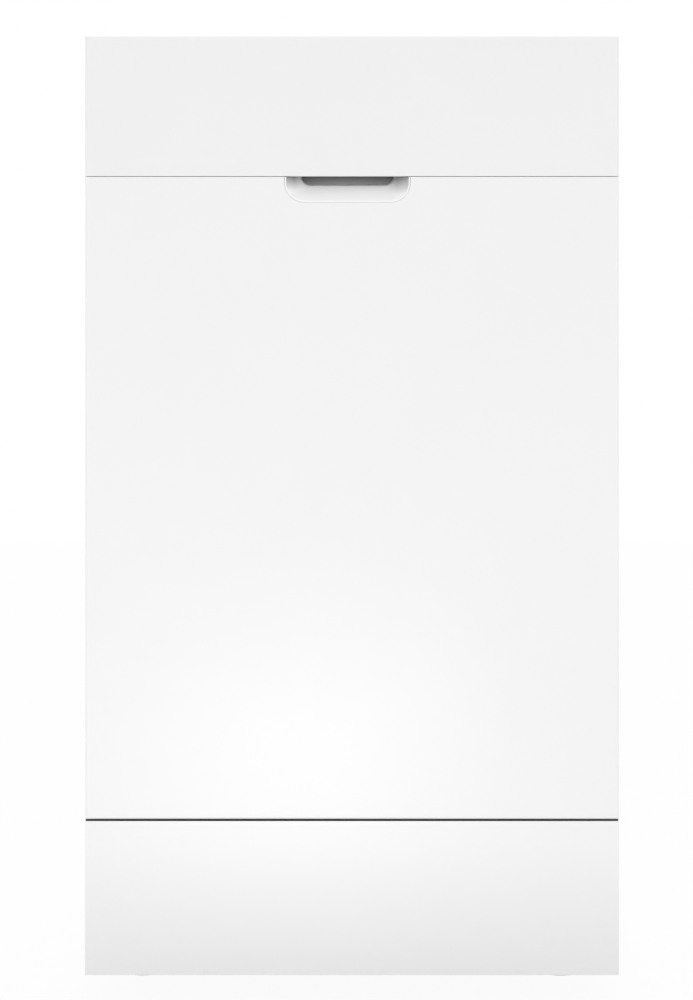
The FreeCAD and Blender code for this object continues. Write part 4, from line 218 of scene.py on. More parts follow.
def deselect():
    if bpy.context.object and bpy.context.object.mode != "OBJECT":
        bpy.ops.object.mode_set(mode="OBJECT")
    bpy.ops.object.select_all(action="DESELECT")


def work_on(piece):
    """Make one piece the only selected and active one."""
    deselect()
    piece.select_set(True)
    bpy.context.view_layer.objects.active = piece


def added(name):
    """Name the primitive that was just added and free its mesh of place and scale."""
    piece = bpy.context.object
    piece.name = name
    piece.data.name = name
    bpy.ops.object.transform_apply(location=True, rotation=True, scale=True)
    return piece


def new_box(name, low, high):
    """A cube between two corners."""
    deselect()
    low, high = Vector(low), Vector(high)
    bpy.ops.mesh.primitive_cube_add(size=1, location=(low + high) / 2)
    bpy.context.object.scale = high - low
    return added(name)


def new_rod(name, start, end, radius, sides):
    """A cylinder between two points."""
    deselect()
    start, end = Vector(start), Vector(end)
    along = end - start
    bpy.ops.mesh.primitive_cylinder_add(
        vertices=sides, radius=radius, depth=along.length, location=(start + end) / 2)
    bpy.context.object.rotation_euler = along.to_track_quat("Z", "Y").to_euler()
    return added(name)


def pick(piece, kind, test):
    """Enter edit mode with only the edges or faces selected that pass a test on their middle."""
    work_on(piece)
    bpy.ops.object.mode_set(mode="EDIT")
    bpy.ops.mesh.select_mode(type=kind)
    bpy.ops.mesh.select_all(action="DESELECT")
    shape = bmesh.from_edit_mesh(piece.data)
    if kind == "EDGE":
        for item in shape.edges:
            item.select_set(test((item.verts[0].co + item.verts[1].co) / 2, item))
    else:
        for item in shape.faces:
            item.select_set(test(item.calc_center_median(), item.normal))
    shape.select_flush_mode()
    bmesh.update_edit_mesh(piece.data)


def leave_edit():
    bpy.ops.object.mode_set(mode="OBJECT")


def soften(piece, width, segments=2):
    """Round every sharp edge with a bevel and shade the rest smooth."""
    work_on(piece)
    bevel = piece.modifiers.new("edge", "BEVEL")
    bevel.width = width
    bevel.segments = segments
    bevel.limit_method = "ANGLE"
    bevel.angle_limit = SHARP_ANGLE
    bpy.ops.object.modifier_apply(modifier=bevel.name)
    bpy.ops.object.shade_smooth_by_angle(angle=SMOOTH_ANGLE)
    level = piece.modifiers.new("level", "WEIGHTED_NORMAL")
    level.mode = "FACE_AREA"
    level.weight = 90
    level.keep_sharp = True
    bpy.ops.object.modifier_apply(modifier=level.name)


def join(pieces, name):
    """Join pieces into the first one."""
    deselect()
    for piece in pieces:
        piece.select_set(True)
    bpy.context.view_layer.objects.active = pieces[0]
    bpy.ops.object.join()
    pieces[0].name = name
    pieces[0].data.name = name
    return pieces[0]


def dressed_copy(node, width, segments=2):
    """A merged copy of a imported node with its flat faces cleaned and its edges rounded."""
    piece = bpy.data.objects.new(node + "_finished", NODES[node].data.copy())
    bpy.context.scene.collection.objects.link(piece)
    work_on(piece)
    bpy.ops.object.mode_set(mode="EDIT")
    bpy.ops.mesh.select_mode(type="VERT")
    bpy.ops.mesh.select_all(action="SELECT")
    bpy.ops.mesh.remove_doubles(threshold=MERGE)
    bpy.ops.mesh.dissolve_limited(angle_limit=FLAT_ANGLE)
    leave_edit()
    soften(piece, width, segments)
    hand_over(piece, node)
    return piece


def dress(nodes, width):
    """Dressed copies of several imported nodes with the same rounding."""
    return [dressed_copy(node, width) for node in nodes]


def hand_over(piece, node):
    """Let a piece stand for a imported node: same body, same finish, and the node is hidden."""
    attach(piece, BODY_OF[node])
    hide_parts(node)
    coat(piece, FINISH_OF[SLOT_OF[node]])


def coat(piece, name):
    """Give a piece one of the finishes."""
    piece.data.materials.clear()
    piece.data.materials.append(finish(name))


# Finishes


class Nodes:
    """Small helper that builds one material's node tree from left to right."""

    def __init__(self, name):
        self.material = bpy.data.materials.new(name)
        self.material.use_nodes = True
        self.tree = self.material.node_tree
        self.shader = self.tree.nodes["Principled BSDF"]
        self.place = self.tree.nodes.new("ShaderNodeTexCoord").outputs["Object"]

    def add(self, kind, **values):
        node = self.tree.nodes.new(kind)
        for key, value in values.items():
            setattr(node, key, value)
        return node

    def link(self, source, target):
        self.tree.links.new(source, target)

    def stretched(self, scale):
        """Object coordinates squeezed along the axes, for brushed or moulded patterns."""
        mapping = self.add("ShaderNodeMapping")
        mapping.inputs["Scale"].default_value = scale
        self.link(self.place, mapping.inputs["Vector"])
        return mapping.outputs["Vector"]

    def noise(self, scale, detail, where=None):
        """Cloudy pattern with so many clouds to the metre."""
        noise = self.add("ShaderNodeTexNoise")
        noise.inputs["Scale"].default_value = scale
        noise.inputs["Detail"].default_value = detail
        self.link(where or self.place, noise.inputs["Vector"])
        return noise.outputs["Fac"]

    def cells(self, scale):
        """Crystals with flat tones."""
        cells = self.add("ShaderNodeTexVoronoi")
        cells.inputs["Scale"].default_value = scale
        self.link(self.place, cells.inputs["Vector"])
        return cells

    def ramp(self, source, low, high, dark, light):
        """Turn a pattern into a colour between two tones."""
        ramp = self.add("ShaderNodeValToRGB")
        ramp.color_ramp.elements[0].position = low
        ramp.color_ramp.elements[1].position = high
        ramp.color_ramp.elements[0].color = (*dark, 1.0)
        ramp.color_ramp.elements[1].color = (*light, 1.0)
        self.link(source, ramp.inputs["Fac"])
        return ramp.outputs["Color"]

    def spread(self, source, low, high):
        """Map a pattern from 0..1 to a range of values."""
        spread = self.add("ShaderNodeMapRange")
        spread.inputs["To Min"].default_value = low
        spread.inputs["To Max"].default_value = high
        self.link(source, spread.inputs["Value"])
        return spread.outputs["Result"]

    def maths(self, operation, first, second):
        """Two patterns taken together."""
        both = self.add("ShaderNodeMath", operation=operation)
        self.link(first, both.inputs[0])
        self.link(second, both.inputs[1])
        return both.outputs["Value"]

    def across(self, axis, start, end):
        """Zero to one between two places along an axis."""
        split = self.add("ShaderNodeSeparateXYZ")
        self.link(self.place, split.inputs["Vector"])
        share = self.add("ShaderNodeMapRange")
        share.inputs["From Min"].default_value = start
        share.inputs["From Max"].default_value = end
        self.link(split.outputs[axis], share.inputs["Value"])
        return share.outputs["Result"]

    def bump(self, source, strength, distance):
        bump = self.add("ShaderNodeBump")
        bump.inputs["Strength"].default_value = strength
        bump.inputs["Distance"].default_value = distance
        self.link(source, bump.inputs["Height"])
        self.link(bump.outputs["Normal"], self.shader.inputs["Normal"])

    def tone(self, colour, pattern, amount, low=0.3, high=0.7):
        """Base colour that drifts a little with a pattern."""
        dark = [c * (1.0 - amount) for c in colour]
        light = [min(1.0, c * (1.0 + amount)) for c in colour]
        self.link(self.ramp(pattern, low, high, dark, light), self.shader.inputs["Base Color"])

    def rough(self, pattern, low, high):
        self.link(self.spread(pattern, low, high), self.shader.inputs["Roughness"])


def shade(name):
    """One of the colours or tones of the finishes."""
    return getattr(bpy.context.scene.dishwasher_colours, name)


def white_enamel(n):
    """Stove enamel: barely visible orange peel and a soft gloss."""
    drift = n.noise(scale=6.0, detail=2.0)
    n.tone(shade("enamel"), drift, amount=0.006)
    n.rough(n.noise(scale=90.0, detail=3.0), low=0.275, high=0.285)
    n.bump(n.noise(scale=900.0, detail=2.0), strength=0.035, distance=0.0002)


def white_moulding(n):
    """Injection-moulded white plastic: finer and a little softer than enamel."""
    n.tone(shade("moulding"), n.noise(scale=9.0, detail=2.0), amount=0.006)
    n.rough(n.noise(scale=60.0, detail=3.0), low=0.34, high=0.42)
    n.shader.inputs["IOR"].default_value = 1.49
    n.bump(n.noise(scale=1500.0, detail=2.0), strength=0.03, distance=0.0001)


def polished_white(n):
    """The same white, glossier on the rolled rim of the pull where hands rub it, and lighter than the
    moulding as a painted highlight.
    """
    # Painted highlight: the rim's base colour is lighter than the moulding's
    n.tone(shade("rim"), n.noise(scale=30.0, detail=2.0), amount=0.004)
    n.rough(n.noise(scale=60.0, detail=3.0), low=0.14, high=0.20)
    n.shader.inputs["IOR"].default_value = 1.49


# Share of white left in the painted shade at the plinth's foot, and share of its height that the painted
# shade reaches
PLINTH_SHADE_TONE = 0.89
PLINTH_SHADE_HEIGHT = 0.85


def floor_enamel(n):
    """White enamel of the plinth, darker towards its foot with painted shade."""
    white = shade("enamel")
    # Painted shade: the plinth's white darkens towards the floor
    downward_shade = n.across("Z", PLINTH_LOW.z, PLINTH_HIGH.z)
    shaded_white = [c * PLINTH_SHADE_TONE for c in white]
    n.link(n.ramp(downward_shade, 0.0, PLINTH_SHADE_HEIGHT, shaded_white, white), n.shader.inputs["Base Color"])
    n.rough(n.noise(scale=90.0, detail=3.0), low=0.275, high=0.295)
    n.bump(n.noise(scale=900.0, detail=2.0), strength=0.02, distance=0.0002)


def brushed_stainless(n):
    """Stainless sheet with fine lengthwise brushing and faint water marks."""
    n.shader.inputs["Metallic"].default_value = 1.0
    lines = n.noise(scale=24.0, detail=4.0, where=n.stretched((40.0, 1.0, 40.0)))
    marks = n.noise(scale=14.0, detail=4.0)
    n.tone(shade("stainless"), lines, amount=0.06)
    n.rough(marks, low=0.24, high=0.38)
    n.bump(lines, strength=0.05, distance=0.0002)


def zinc_sheet(n):
    """Galvanised sheet with its spangle of crystals."""
    n.shader.inputs["Metallic"].default_value = 1.0
    spangle = n.cells(110.0)
    n.tone(shade("zinc"), spangle.outputs["Color"], amount=0.12, low=0.1, high=0.9)
    n.rough(spangle.outputs["Color"], low=0.32, high=0.52)
    n.bump(spangle.outputs["Distance"], strength=0.05, distance=0.0003)


def seal_rubber(n):
    """Matt black rubber with a dusty bloom."""
    bloom = n.noise(scale=30.0, detail=4.0)
    n.tone(shade("rubber"), bloom, amount=0.35)
    n.rough(bloom, low=0.58, high=0.78)
    n.bump(n.noise(scale=1200.0, detail=2.0), strength=0.12, distance=0.0002)


def grey_moulding(n):
    """Grey polypropylene with a fine spark-eroded grain."""
    grain = n.noise(scale=1400.0, detail=2.0)
    n.tone(shade("grey"), n.noise(scale=18.0, detail=3.0), amount=0.04)
    n.rough(grain, low=0.40, high=0.56)
    n.bump(grain, strength=0.14, distance=0.00015)


def base_moulding(n):
    """Dark recycled plastic with a coarse grain and paler flow marks."""
    flow = n.noise(scale=7.0, detail=4.0, where=n.stretched((1.0, 3.0, 1.0)))
    grain = n.noise(scale=900.0, detail=3.0)
    n.tone(shade("base"), flow, amount=0.18)
    n.rough(grain, low=0.48, high=0.66)
    n.bump(grain, strength=0.22, distance=0.0002)


def pale_moulding(n):
    """Milky natural plastic of the water tanks."""
    n.tone(shade("pale"), n.noise(scale=12.0, detail=3.0), amount=0.05)
    n.rough(n.noise(scale=70.0, detail=3.0), low=0.32, high=0.46)
    n.shader.inputs["Subsurface Weight"].default_value = 0.15
    n.shader.inputs["Subsurface Scale"].default_value = 0.004
    n.bump(n.noise(scale=800.0, detail=2.0), strength=0.06, distance=0.0002)


def cast_aluminium(n):
    """Sand-cast pump housing."""
    n.shader.inputs["Metallic"].default_value = 1.0
    skin = n.noise(scale=420.0, detail=4.0)
    n.tone(shade("cast"), skin, amount=0.10)
    n.rough(skin, low=0.42, high=0.60)
    n.bump(skin, strength=0.25, distance=0.0003)


def rinse_blue(n):
    """Blue cap plastic."""
    n.tone(shade("rinse"), n.noise(scale=25.0, detail=3.0), amount=0.08)
    n.rough(n.noise(scale=300.0, detail=2.0), low=0.30, high=0.42)
    n.bump(n.noise(scale=1200.0, detail=2.0), strength=0.08, distance=0.0001)


def rack_coating(n):
    """Nylon powder coat on wire: soft, slightly uneven gloss."""
    skin = n.noise(scale=260.0, detail=3.0)
    n.tone(shade("wire_coat"), n.noise(scale=22.0, detail=3.0), amount=0.04)
    n.rough(skin, low=0.34, high=0.48)
    n.bump(skin, strength=0.10, distance=0.0002)


def smoked_window(n):
    """Smoked clear plastic over the display."""
    n.tone(shade("window"), n.noise(scale=20.0, detail=2.0), amount=0.2)
    n.rough(n.noise(scale=90.0, detail=2.0), low=0.06, high=0.12)
    n.shader.inputs["Coat Weight"].default_value = 0.5


def board_green(n):
    """Solder mask with straight tracks under it."""
    tracks = n.add("ShaderNodeTexBrick")
    tracks.inputs["Scale"].default_value = 160.0
    tracks.inputs["Mortar Size"].default_value = 0.03
    tracks.inputs["Color1"].default_value = (*shade("board"), 1.0)
    tracks.inputs["Color2"].default_value = (*[c * 0.8 for c in shade("board")], 1.0)
    tracks.inputs["Mortar"].default_value = (*[c * 2.2 for c in shade("board")], 1.0)
    n.link(n.place, tracks.inputs["Vector"])
    n.link(tracks.outputs["Color"], n.shader.inputs["Base Color"])
    n.rough(n.noise(scale=100.0, detail=2.0), low=0.25, high=0.40)
    n.bump(tracks.outputs["Fac"], strength=0.1, distance=0.0001)


# Shares of the lip's depth between which painted shade darkens the hood, of the shaded height over the
# door's edge, and of the white that is left in the painted shade of the hood
HOOD_SHADE_START = 0.8
HOOD_SHADE_FULL = 1.15
HOOD_SHADE_OVER = 0.57
HOOD_SHADE_TONE = 0.28


def scoop_moulding(n):
    """White moulding of the pull, darkened with painted shade in the hood and at the upper ends of the
    lip.
    """
    n.rough(n.noise(scale=60.0, detail=3.0), low=0.40, high=0.48)
    n.shader.inputs["IOR"].default_value = 1.49
    white = shade("moulding")
    sizes = bpy.context.scene.dishwasher_sizes
    top, middle = FRONT_HIGH.z, (PULL_LOW.x + PULL_HIGH.x) / 2
    # Painted shade: the upper ends of the lip and the hood under the fascia are darkened
    ends = []
    for start, fade, height in (
        (middle - sizes.left_shade_start, -sizes.end_shade_fade, sizes.left_shade_height),
        (middle + sizes.right_shade_start, sizes.end_shade_fade, sizes.right_shade_height),
    ):
        outwards = n.across("X", start, start + fade)
        ends.append(n.maths("MULTIPLY", outwards, n.across("Z", top - height, top)))
    lip = n.maths("MAXIMUM", *ends)
    hood = n.across("Z", top - sizes.hood_shade_height, top + HOOD_SHADE_OVER * sizes.hood_shade_height)
    start, full = HOOD_SHADE_START * sizes.pull_lip, HOOD_SHADE_FULL * sizes.pull_lip
    behind = n.across("Y", FRONT_LOW.y + start, FRONT_LOW.y + full)
    painted_shade = n.maths("MAXIMUM", lip, n.maths("MULTIPLY", hood, behind))
    grey = [c * HOOD_SHADE_TONE for c in white]
    n.link(n.ramp(painted_shade, 0.0, 1.0, white, grey), n.shader.inputs["Base Color"])
    n.bump(n.noise(scale=1500.0, detail=2.0), strength=0.03, distance=0.0001)


def print_grey(n):
    """Pad-printed grey ink."""
    n.tone(shade("ink"), n.noise(scale=500.0, detail=2.0), amount=0.08)
    n.rough(n.noise(scale=300.0, detail=2.0), low=0.45, high=0.55)


RECIPES = {
    recipe.__name__: recipe
    for recipe in (
        white_enamel, white_moulding, polished_white, floor_enamel, scoop_moulding, brushed_stainless,
        zinc_sheet, seal_rubber, grey_moulding, base_moulding, pale_moulding, cast_aluminium, rinse_blue,
        rack_coating, smoked_window, board_green, print_grey,
    )
}
FINISH_OF = {
    "white_enamel": "white_enamel",
    "white_moulding": "white_moulding",
    "stainless": "brushed_stainless",
    "zinc_sheet": "zinc_sheet",
    "seal_rubber": "seal_rubber",
    "grey_moulding": "grey_moulding",
    "base_moulding": "base_moulding",
    "pale_moulding": "pale_moulding",
    "pump_metal": "cast_aluminium",
    "rinse_blue": "rinse_blue",
    "rack_coating": "rack_coating",
    "dark_window": "smoked_window",
    "board_green": "board_green",
}


def finish(name):
    """The material of one finish, made the first time it is asked for."""
    label = name + "_finish"
    if label not in bpy.data.materials:
        RECIPES[name](Nodes(label))
    return bpy.data.materials[label]


# Wires


def flat_frame(name, low, high):
    """A flat rectangle of edges between two corners that share one coordinate."""
    low, high = Vector(low), Vector(high)
    span = high - low
    flat = min(range(3), key=lambda axis: abs(span[axis]))
    turn, scale = (
        ((0, QUARTER_TURN, 0), (span.z, span.y, 1)),
        ((QUARTER_TURN, 0, 0), (span.x, span.z, 1)),
        ((0, 0, 0), (span.x, span.y, 1)),
    )[flat]
    deselect()
    bpy.ops.mesh.primitive_plane_add(size=1, location=(low + high) / 2, rotation=turn)
    bpy.context.object.scale = scale
    piece = added(name)
    pick(piece, "FACE", lambda centre, normal: True)
    bpy.ops.mesh.delete(type="ONLY_FACE")
    leave_edit()
    return piece


def bent_wire(name, low, high, radius, bend, open_side=None, sides=2, bend_steps=5):
    """Round wire bent round the corners of a flat rectangle, closed or with one side left open."""
    piece = flat_frame(name, low, high)
    if open_side:
        pick(piece, "EDGE", lambda centre, edge: open_side(centre))
        bpy.ops.mesh.delete(type="EDGE")
        leave_edit()
    work_on(piece)
    bpy.ops.object.mode_set(mode="EDIT")
    bpy.ops.mesh.select_mode(type="VERT")
    bpy.ops.mesh.select_all(action="DESELECT")
    shape = bmesh.from_edit_mesh(piece.data)
    for corner in shape.verts:
        corner.select_set(len(corner.link_edges) == 2)
    bmesh.update_edit_mesh(piece.data)
    bpy.ops.mesh.bevel(offset_type="OFFSET", offset=bend, segments=bend_steps, affect="VERTICES")
    leave_edit()
    bpy.ops.object.convert(target="CURVE")
    line = bpy.context.object
    line.data.bevel_depth = radius
    line.data.bevel_resolution = sides
    line.data.use_fill_caps = True
    bpy.ops.object.convert(target="MESH")
    piece = bpy.context.object
    bpy.ops.object.shade_smooth_by_angle(angle=WIRE_ANGLE)
    piece.name = name
    return piece


def repeat(piece, count, step):
    """Like copies of a piece in a row, joined to it."""
    work_on(piece)
    row = piece.modifiers.new("row", "ARRAY")
    row.count = count
    row.use_relative_offset = False
    row.use_constant_offset = True
    row.constant_offset_displace = step
    bpy.ops.object.modifier_apply(modifier=row.name)
    return piece


def rack_frame(name, half, front, rear, floor, top, middle):
    """One wire rack: two closed rims, hoops from side to side and hoops from front to back."""
    sizes = bpy.context.scene.dishwasher_sizes
    rim, thin = sizes.rim_wire, sizes.thin_wire
    touch = rim + thin
    rims = []
    for height in (top - rim, middle):
        rims.append(bent_wire(
            name + "_rim", (rim - half, front + rim, height), (half - rim, rear - rim, height), rim,
            sizes.rim_bend, sides=3))
    post_x = half - rim - touch
    post_front, post_rear = front + rim + touch, rear - rim - touch
    first, last = post_front + sizes.hoop_inset, post_rear - sizes.hoop_inset
    across = bent_wire(
        name + "_across", (-post_x, first, floor), (post_x, first, top), thin, sizes.wire_bend,
        lambda centre: centre.z > top - NEAR)
    repeat(across, sizes.cross_hoops, (0, (last - first) / (sizes.cross_hoops - 1), 0))
    reach = post_x - thin - sizes.hoop_side
    along = bent_wire(
        name + "_along", (-reach, post_front, floor - touch), (-reach, post_rear, top), thin,
        sizes.wire_bend, lambda centre: centre.z > top - NEAR)
    repeat(along, sizes.long_hoops, (2 * reach / (sizes.long_hoops - 1), 0, 0))
    return rims + [across, along]


def hairpins(name, y, foot, height):
    """A row of plate tines, each bent from one wire."""
    sizes = bpy.context.scene.dishwasher_sizes
    half = sizes.tine_width / 2
    first = -sizes.tine_pitch * (sizes.tine_count - 1) / 2
    pin = bent_wire(
        name, (first - half, y, foot), (first + half, y, foot + height), sizes.thin_wire,
        half * TINE_BOW, lambda centre: centre.z < foot + NEAR, bend_steps=4)
    return repeat(pin, sizes.tine_count, (sizes.tine_pitch, 0, 0))


def rack_rows(low, high):
    """Places from front to back of the CAD rack's cross wires, which carry tines and wheels."""
    sizes = bpy.context.scene.dishwasher_sizes
    inset = 2 * sizes.rim_wire + sizes.thin_wire + sizes.hoop_inset
    first, last = low.y + inset, high.y - inset
    step = (last - first) / (CARRIER_WIRES - 1)
    return [first + step * i for i in range(CARRIER_WIRES)]


# Front


# Dark strip that stands in for the shade in the gap under the door: inset of its ends, rounding, and
# thickness of its foot as a share of its top
LIP_INSET = 0.0002
LIP_EDGE = 0.0002
LIP_TAPER = 0.6


class DISHWASHER_OT_front(bpy.types.Operator):
    """Front of the machine: door panel, fascia and kick plate with rounded sheet edges"""

    bl_idname = "dishwasher.front"
    bl_label = "Front panels"

    def execute(self, context):
        sizes = context.scene.dishwasher_sizes
        dressed_copy("door_panel", sizes.sheet_edge)
        dressed_copy("control_fascia", sizes.fascia_edge)
        plinth = dressed_copy("plinth_panel", sizes.sheet_edge)
        # The plinth's enamel carries painted shade that darkens towards the floor
        coat(plinth, "floor_enamel")
        # Dark piece in the gap under the door, standing in for its shade
        self.foot_strip(sizes)
        return {"FINISHED"}

    def foot_strip(self, sizes):
        """Dark strip under the door's turned-in lower edge: a dark piece that stands in for the shade in
        the gap, and keeps light out of it.
        """
        front = FRONT_LOW.y + sizes.foot_setback
        foot = FRONT_LOW.z - sizes.foot_drop
        half = FRONT_HIGH.x - LIP_INSET
        strip = new_box("foot_strip", (-half, front, foot), (half, front + sizes.foot_thick, FRONT_LOW.z))
        pick(strip, "FACE", lambda centre, normal: normal.z < -FACING)
        bpy.ops.transform.resize(value=(1, LIP_TAPER, 1))
        leave_edit()
        soften(strip, LIP_EDGE)
        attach(strip, BODY_OF["door_panel"])
        coat(strip, "base_moulding")


class DISHWASHER_OT_pull(bpy.types.Operator):
    """Scooped pull under the fascia: bowl and rolled rim"""

    bl_idname = "dishwasher.pull"
    bl_label = "Scooped pull"

    def execute(self, context):
        sizes = context.scene.dishwasher_sizes
        bowl = dressed_copy("handle_pocket", sizes.moulded_edge)
        # The bowl's finish carries painted shade in the hood and at the upper ends of the lip
        coat(bowl, "scoop_moulding")
        flange = sizes.pull_flange
        left, right = PULL_LOW.x + flange, PULL_HIGH.x - flange
        foot = PULL_LOW.z + flange
        self.rim(left, right, foot, sizes)
        return {"FINISHED"}

    def rim(self, left, right, foot, sizes):
        """Rolled rim that lies on the edge of the bowl, level with the door."""
        roll = sizes.pull_rim
        y = FRONT_LOW.y + roll
        rim = bent_wire(
            "pull_rim", (left + roll, y, foot + roll), (right - roll, y, FRONT_HIGH.z), roll,
            sizes.pull_corner, lambda centre: centre.z > FRONT_HIGH.z - NEAR, sides=3, bend_steps=10)
        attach(rim, "door")
        # The rim's finish is glossier and carries a painted highlight
        coat(rim, "polished_white")


# Buttons and their printed marks
BUTTON_EDGE = 0.0006
RING_RADIUS = 0.0026
RING_HALF_GAP = 0.0010
BAR_FOOT = 0.0006
BAR_REACH = 0.0004
DOT_RADIUS = 0.0007
DOT_PITCH = 0.0026
DOT_BORDER = 0.0002
ARROW_RADIUS = 0.0024
ARROW_CORNER = 0.0004


class DISHWASHER_OT_controls(bpy.types.Operator):
    """Strip on the door's top edge: buttons with printed marks and the smoked window"""

    bl_idname = "dishwasher.controls"
    bl_label = "Controls"

    def execute(self, context):
        sizes = context.scene.dishwasher_sizes
        dressed_copy("control_strip", sizes.sheet_edge)
        dressed_copy("display_window", sizes.sheet_edge)
        for node, draw in (
            ("power_button", self.ring_and_bar),
            ("program_button", self.three_dots),
            ("start_button", self.arrow_head),
        ):
            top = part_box(node)[1].z
            button = dressed_copy(node, BUTTON_EDGE, 3)
            pick(button, "FACE", lambda centre, normal: normal.z > FACING_UP and centre.z > top - NEAR / 2)
            bpy.ops.transform.translate(value=(0, 0, -sizes.print_sink))
            leave_edit()
            low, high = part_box(node)
            middle = (low + high) / 2
            middle.z = top - sizes.print_sink
            mark = draw(node + "_mark", middle, sizes)
            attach(mark, BODY_OF[node])
            coat(mark, "print_grey")
        return {"FINISHED"}

    def ring_and_bar(self, name, at, sizes):
        """Open ring with a bar in its gap."""
        size, thick = RING_RADIUS, sizes.print_height
        deselect()
        bpy.ops.mesh.primitive_circle_add(vertices=32, radius=size, fill_type="NOTHING", location=at)
        ring = added(name)
        pick(ring, "EDGE", lambda centre, edge: abs(centre.x - at.x) < RING_HALF_GAP and centre.y > at.y)
        bpy.ops.mesh.delete(type="EDGE")
        bpy.ops.mesh.select_all(action="SELECT")
        bpy.ops.mesh.extrude_region_move(TRANSFORM_OT_translate={"value": (0, 0, thick)})
        leave_edit()
        wall = ring.modifiers.new("stroke", "SOLIDIFY")
        wall.thickness = sizes.print_stroke
        wall.offset = 0
        work_on(ring)
        bpy.ops.object.modifier_apply(modifier=wall.name)
        half = sizes.print_stroke / 2
        bar = new_box(
            "bar", (at.x - half, at.y + BAR_FOOT, at.z),
            (at.x + half, at.y + size + BAR_REACH, at.z + thick))
        return self.closed(join([ring, bar], name))

    def three_dots(self, name, at, sizes):
        """Row of three dots."""
        deselect()
        bpy.ops.mesh.primitive_cylinder_add(
            vertices=20, radius=DOT_RADIUS, depth=sizes.print_height,
            location=(at.x - DOT_PITCH, at.y, at.z + sizes.print_height / 2))
        dots = added(name)
        pick(dots, "FACE", lambda centre, normal: normal.z > FACING)
        bpy.ops.mesh.inset(thickness=DOT_BORDER, depth=0)
        leave_edit()
        repeat(dots, 3, (DOT_PITCH, 0, 0))
        return self.closed(dots)

    def arrow_head(self, name, at, sizes):
        """Triangle that points to the right."""
        deselect()
        bpy.ops.mesh.primitive_cylinder_add(
            vertices=3, radius=ARROW_RADIUS, depth=sizes.print_height,
            location=(at.x, at.y, at.z + sizes.print_height / 2), rotation=(0, 0, -QUARTER_TURN))
        head = added(name)
        pick(head, "EDGE", lambda centre, edge: abs(edge.verts[0].co.z - edge.verts[1].co.z) > MERGE)
        bpy.ops.mesh.bevel(offset=ARROW_CORNER, segments=3, affect="EDGES")
        leave_edit()
        return self.closed(head)

    def closed(self, mark):
        """Merge doubles and turn all faces outwards."""
        work_on(mark)
        bpy.ops.object.mode_set(mode="EDIT")
        bpy.ops.mesh.select_all(action="SELECT")
        bpy.ops.mesh.remove_doubles(threshold=MERGE_PRINT)
        bpy.ops.mesh.normals_make_consistent(inside=False)
        leave_edit()
        return mark


# Inner door and tub


class DISHWASHER_OT_inner_door(bpy.types.Operator):
    """Inner door: pressed steel tray, dispenser with lid and cap, latch, arms and screws"""

    bl_idname = "dishwasher.inner_door"
    bl_label = "Inner door"

    def execute(self, context):
        sizes = context.scene.dishwasher_sizes
        dress(("door_liner", "hinge_arms", "door_screws"), sizes.sheet_edge)
        dress(("dispenser_body", "dispenser_lid", "rinse_cap", "latch_housing"), sizes.moulded_edge)
        return {"FINISHED"}


class DISHWASHER_OT_tub(bpy.types.Operator):
    """Tub: pressed walls and floor, rails, filter, spray column and the pieces in the mouth"""

    bl_idname = "dishwasher.tub"
    bl_label = "Tub"

    def execute(self, context):
        sizes = context.scene.dishwasher_sizes
        sheets = ("tub_shell", "tub_rear_wall", "tub_floor", "rack_rails", "strike_plate", "fine_filter")
        mouldings = (
            "filter_cup", "salt_cap", "feed_duct", "ceiling_sprayer", "spray_hub", "lower_spray_arm",
        )
        dress(sheets, sizes.sheet_edge)
        dress(mouldings, sizes.moulded_edge)
        return {"FINISHED"}


# Seal: play of the bulbs, inset of the inner one in radii, and highest middle over the seal's foot
BULB_PLAY = 0.00005
BULB_STEP = 2.6
BULB_FOOT = 0.0035


class DISHWASHER_OT_seal(bpy.types.Operator):
    """Door seal: a double bulb of rubber round the mouth of the tub"""

    bl_idname = "dishwasher.seal"
    bl_label = "Door seal"

    def execute(self, context):
        sizes = context.scene.dishwasher_sizes
        low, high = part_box("door_seal")
        y = (low.y + high.y) / 2
        bulb = (high.y - low.y) / 2 - BULB_PLAY
        bulbs = []
        for inset in (bulb, BULB_STEP * bulb):
            x, foot, top = high.x - inset, low.z + min(inset, BULB_FOOT), high.z - inset
            bulbs.append(bent_wire(
                "seal_bulb", (-x, y, foot), (x, y, top), bulb, sizes.seal_bend, sides=3))
        hand_over(join(bulbs, "door_seal_bulbs"), "door_seal")
        return {"FINISHED"}


# Racks


# Clips of the folding bar: half width, half depth, foot over the floor wires, head over the bar
CLIP_WIDE = 0.004
CLIP_DEEP = 0.005
CLIP_FOOT = 0.0012
CLIP_HEAD = 0.005
CLIP_ROUND = 0.0038
CLIP_EDGE = 0.0005
# Wheel brackets: half length, reach under the axle and over the floor, and their dish
BRACKET_HALF = 0.011
BRACKET_FOOT = 0.009
BRACKET_RISE = 0.044
BRACKET_THICK = 0.004
BRACKET_CORNER = 0.007
BRACKET_BORDER = 0.003
BRACKET_DISH = 0.0012
BRACKET_EDGE = 0.0004
# Boss, axle and cap, and how far they reach into each other
BOSS_RADIUS = 0.005
AXLE_RADIUS = 0.00295
AXLE_SINK = 0.001
CAP_THICK = 0.002


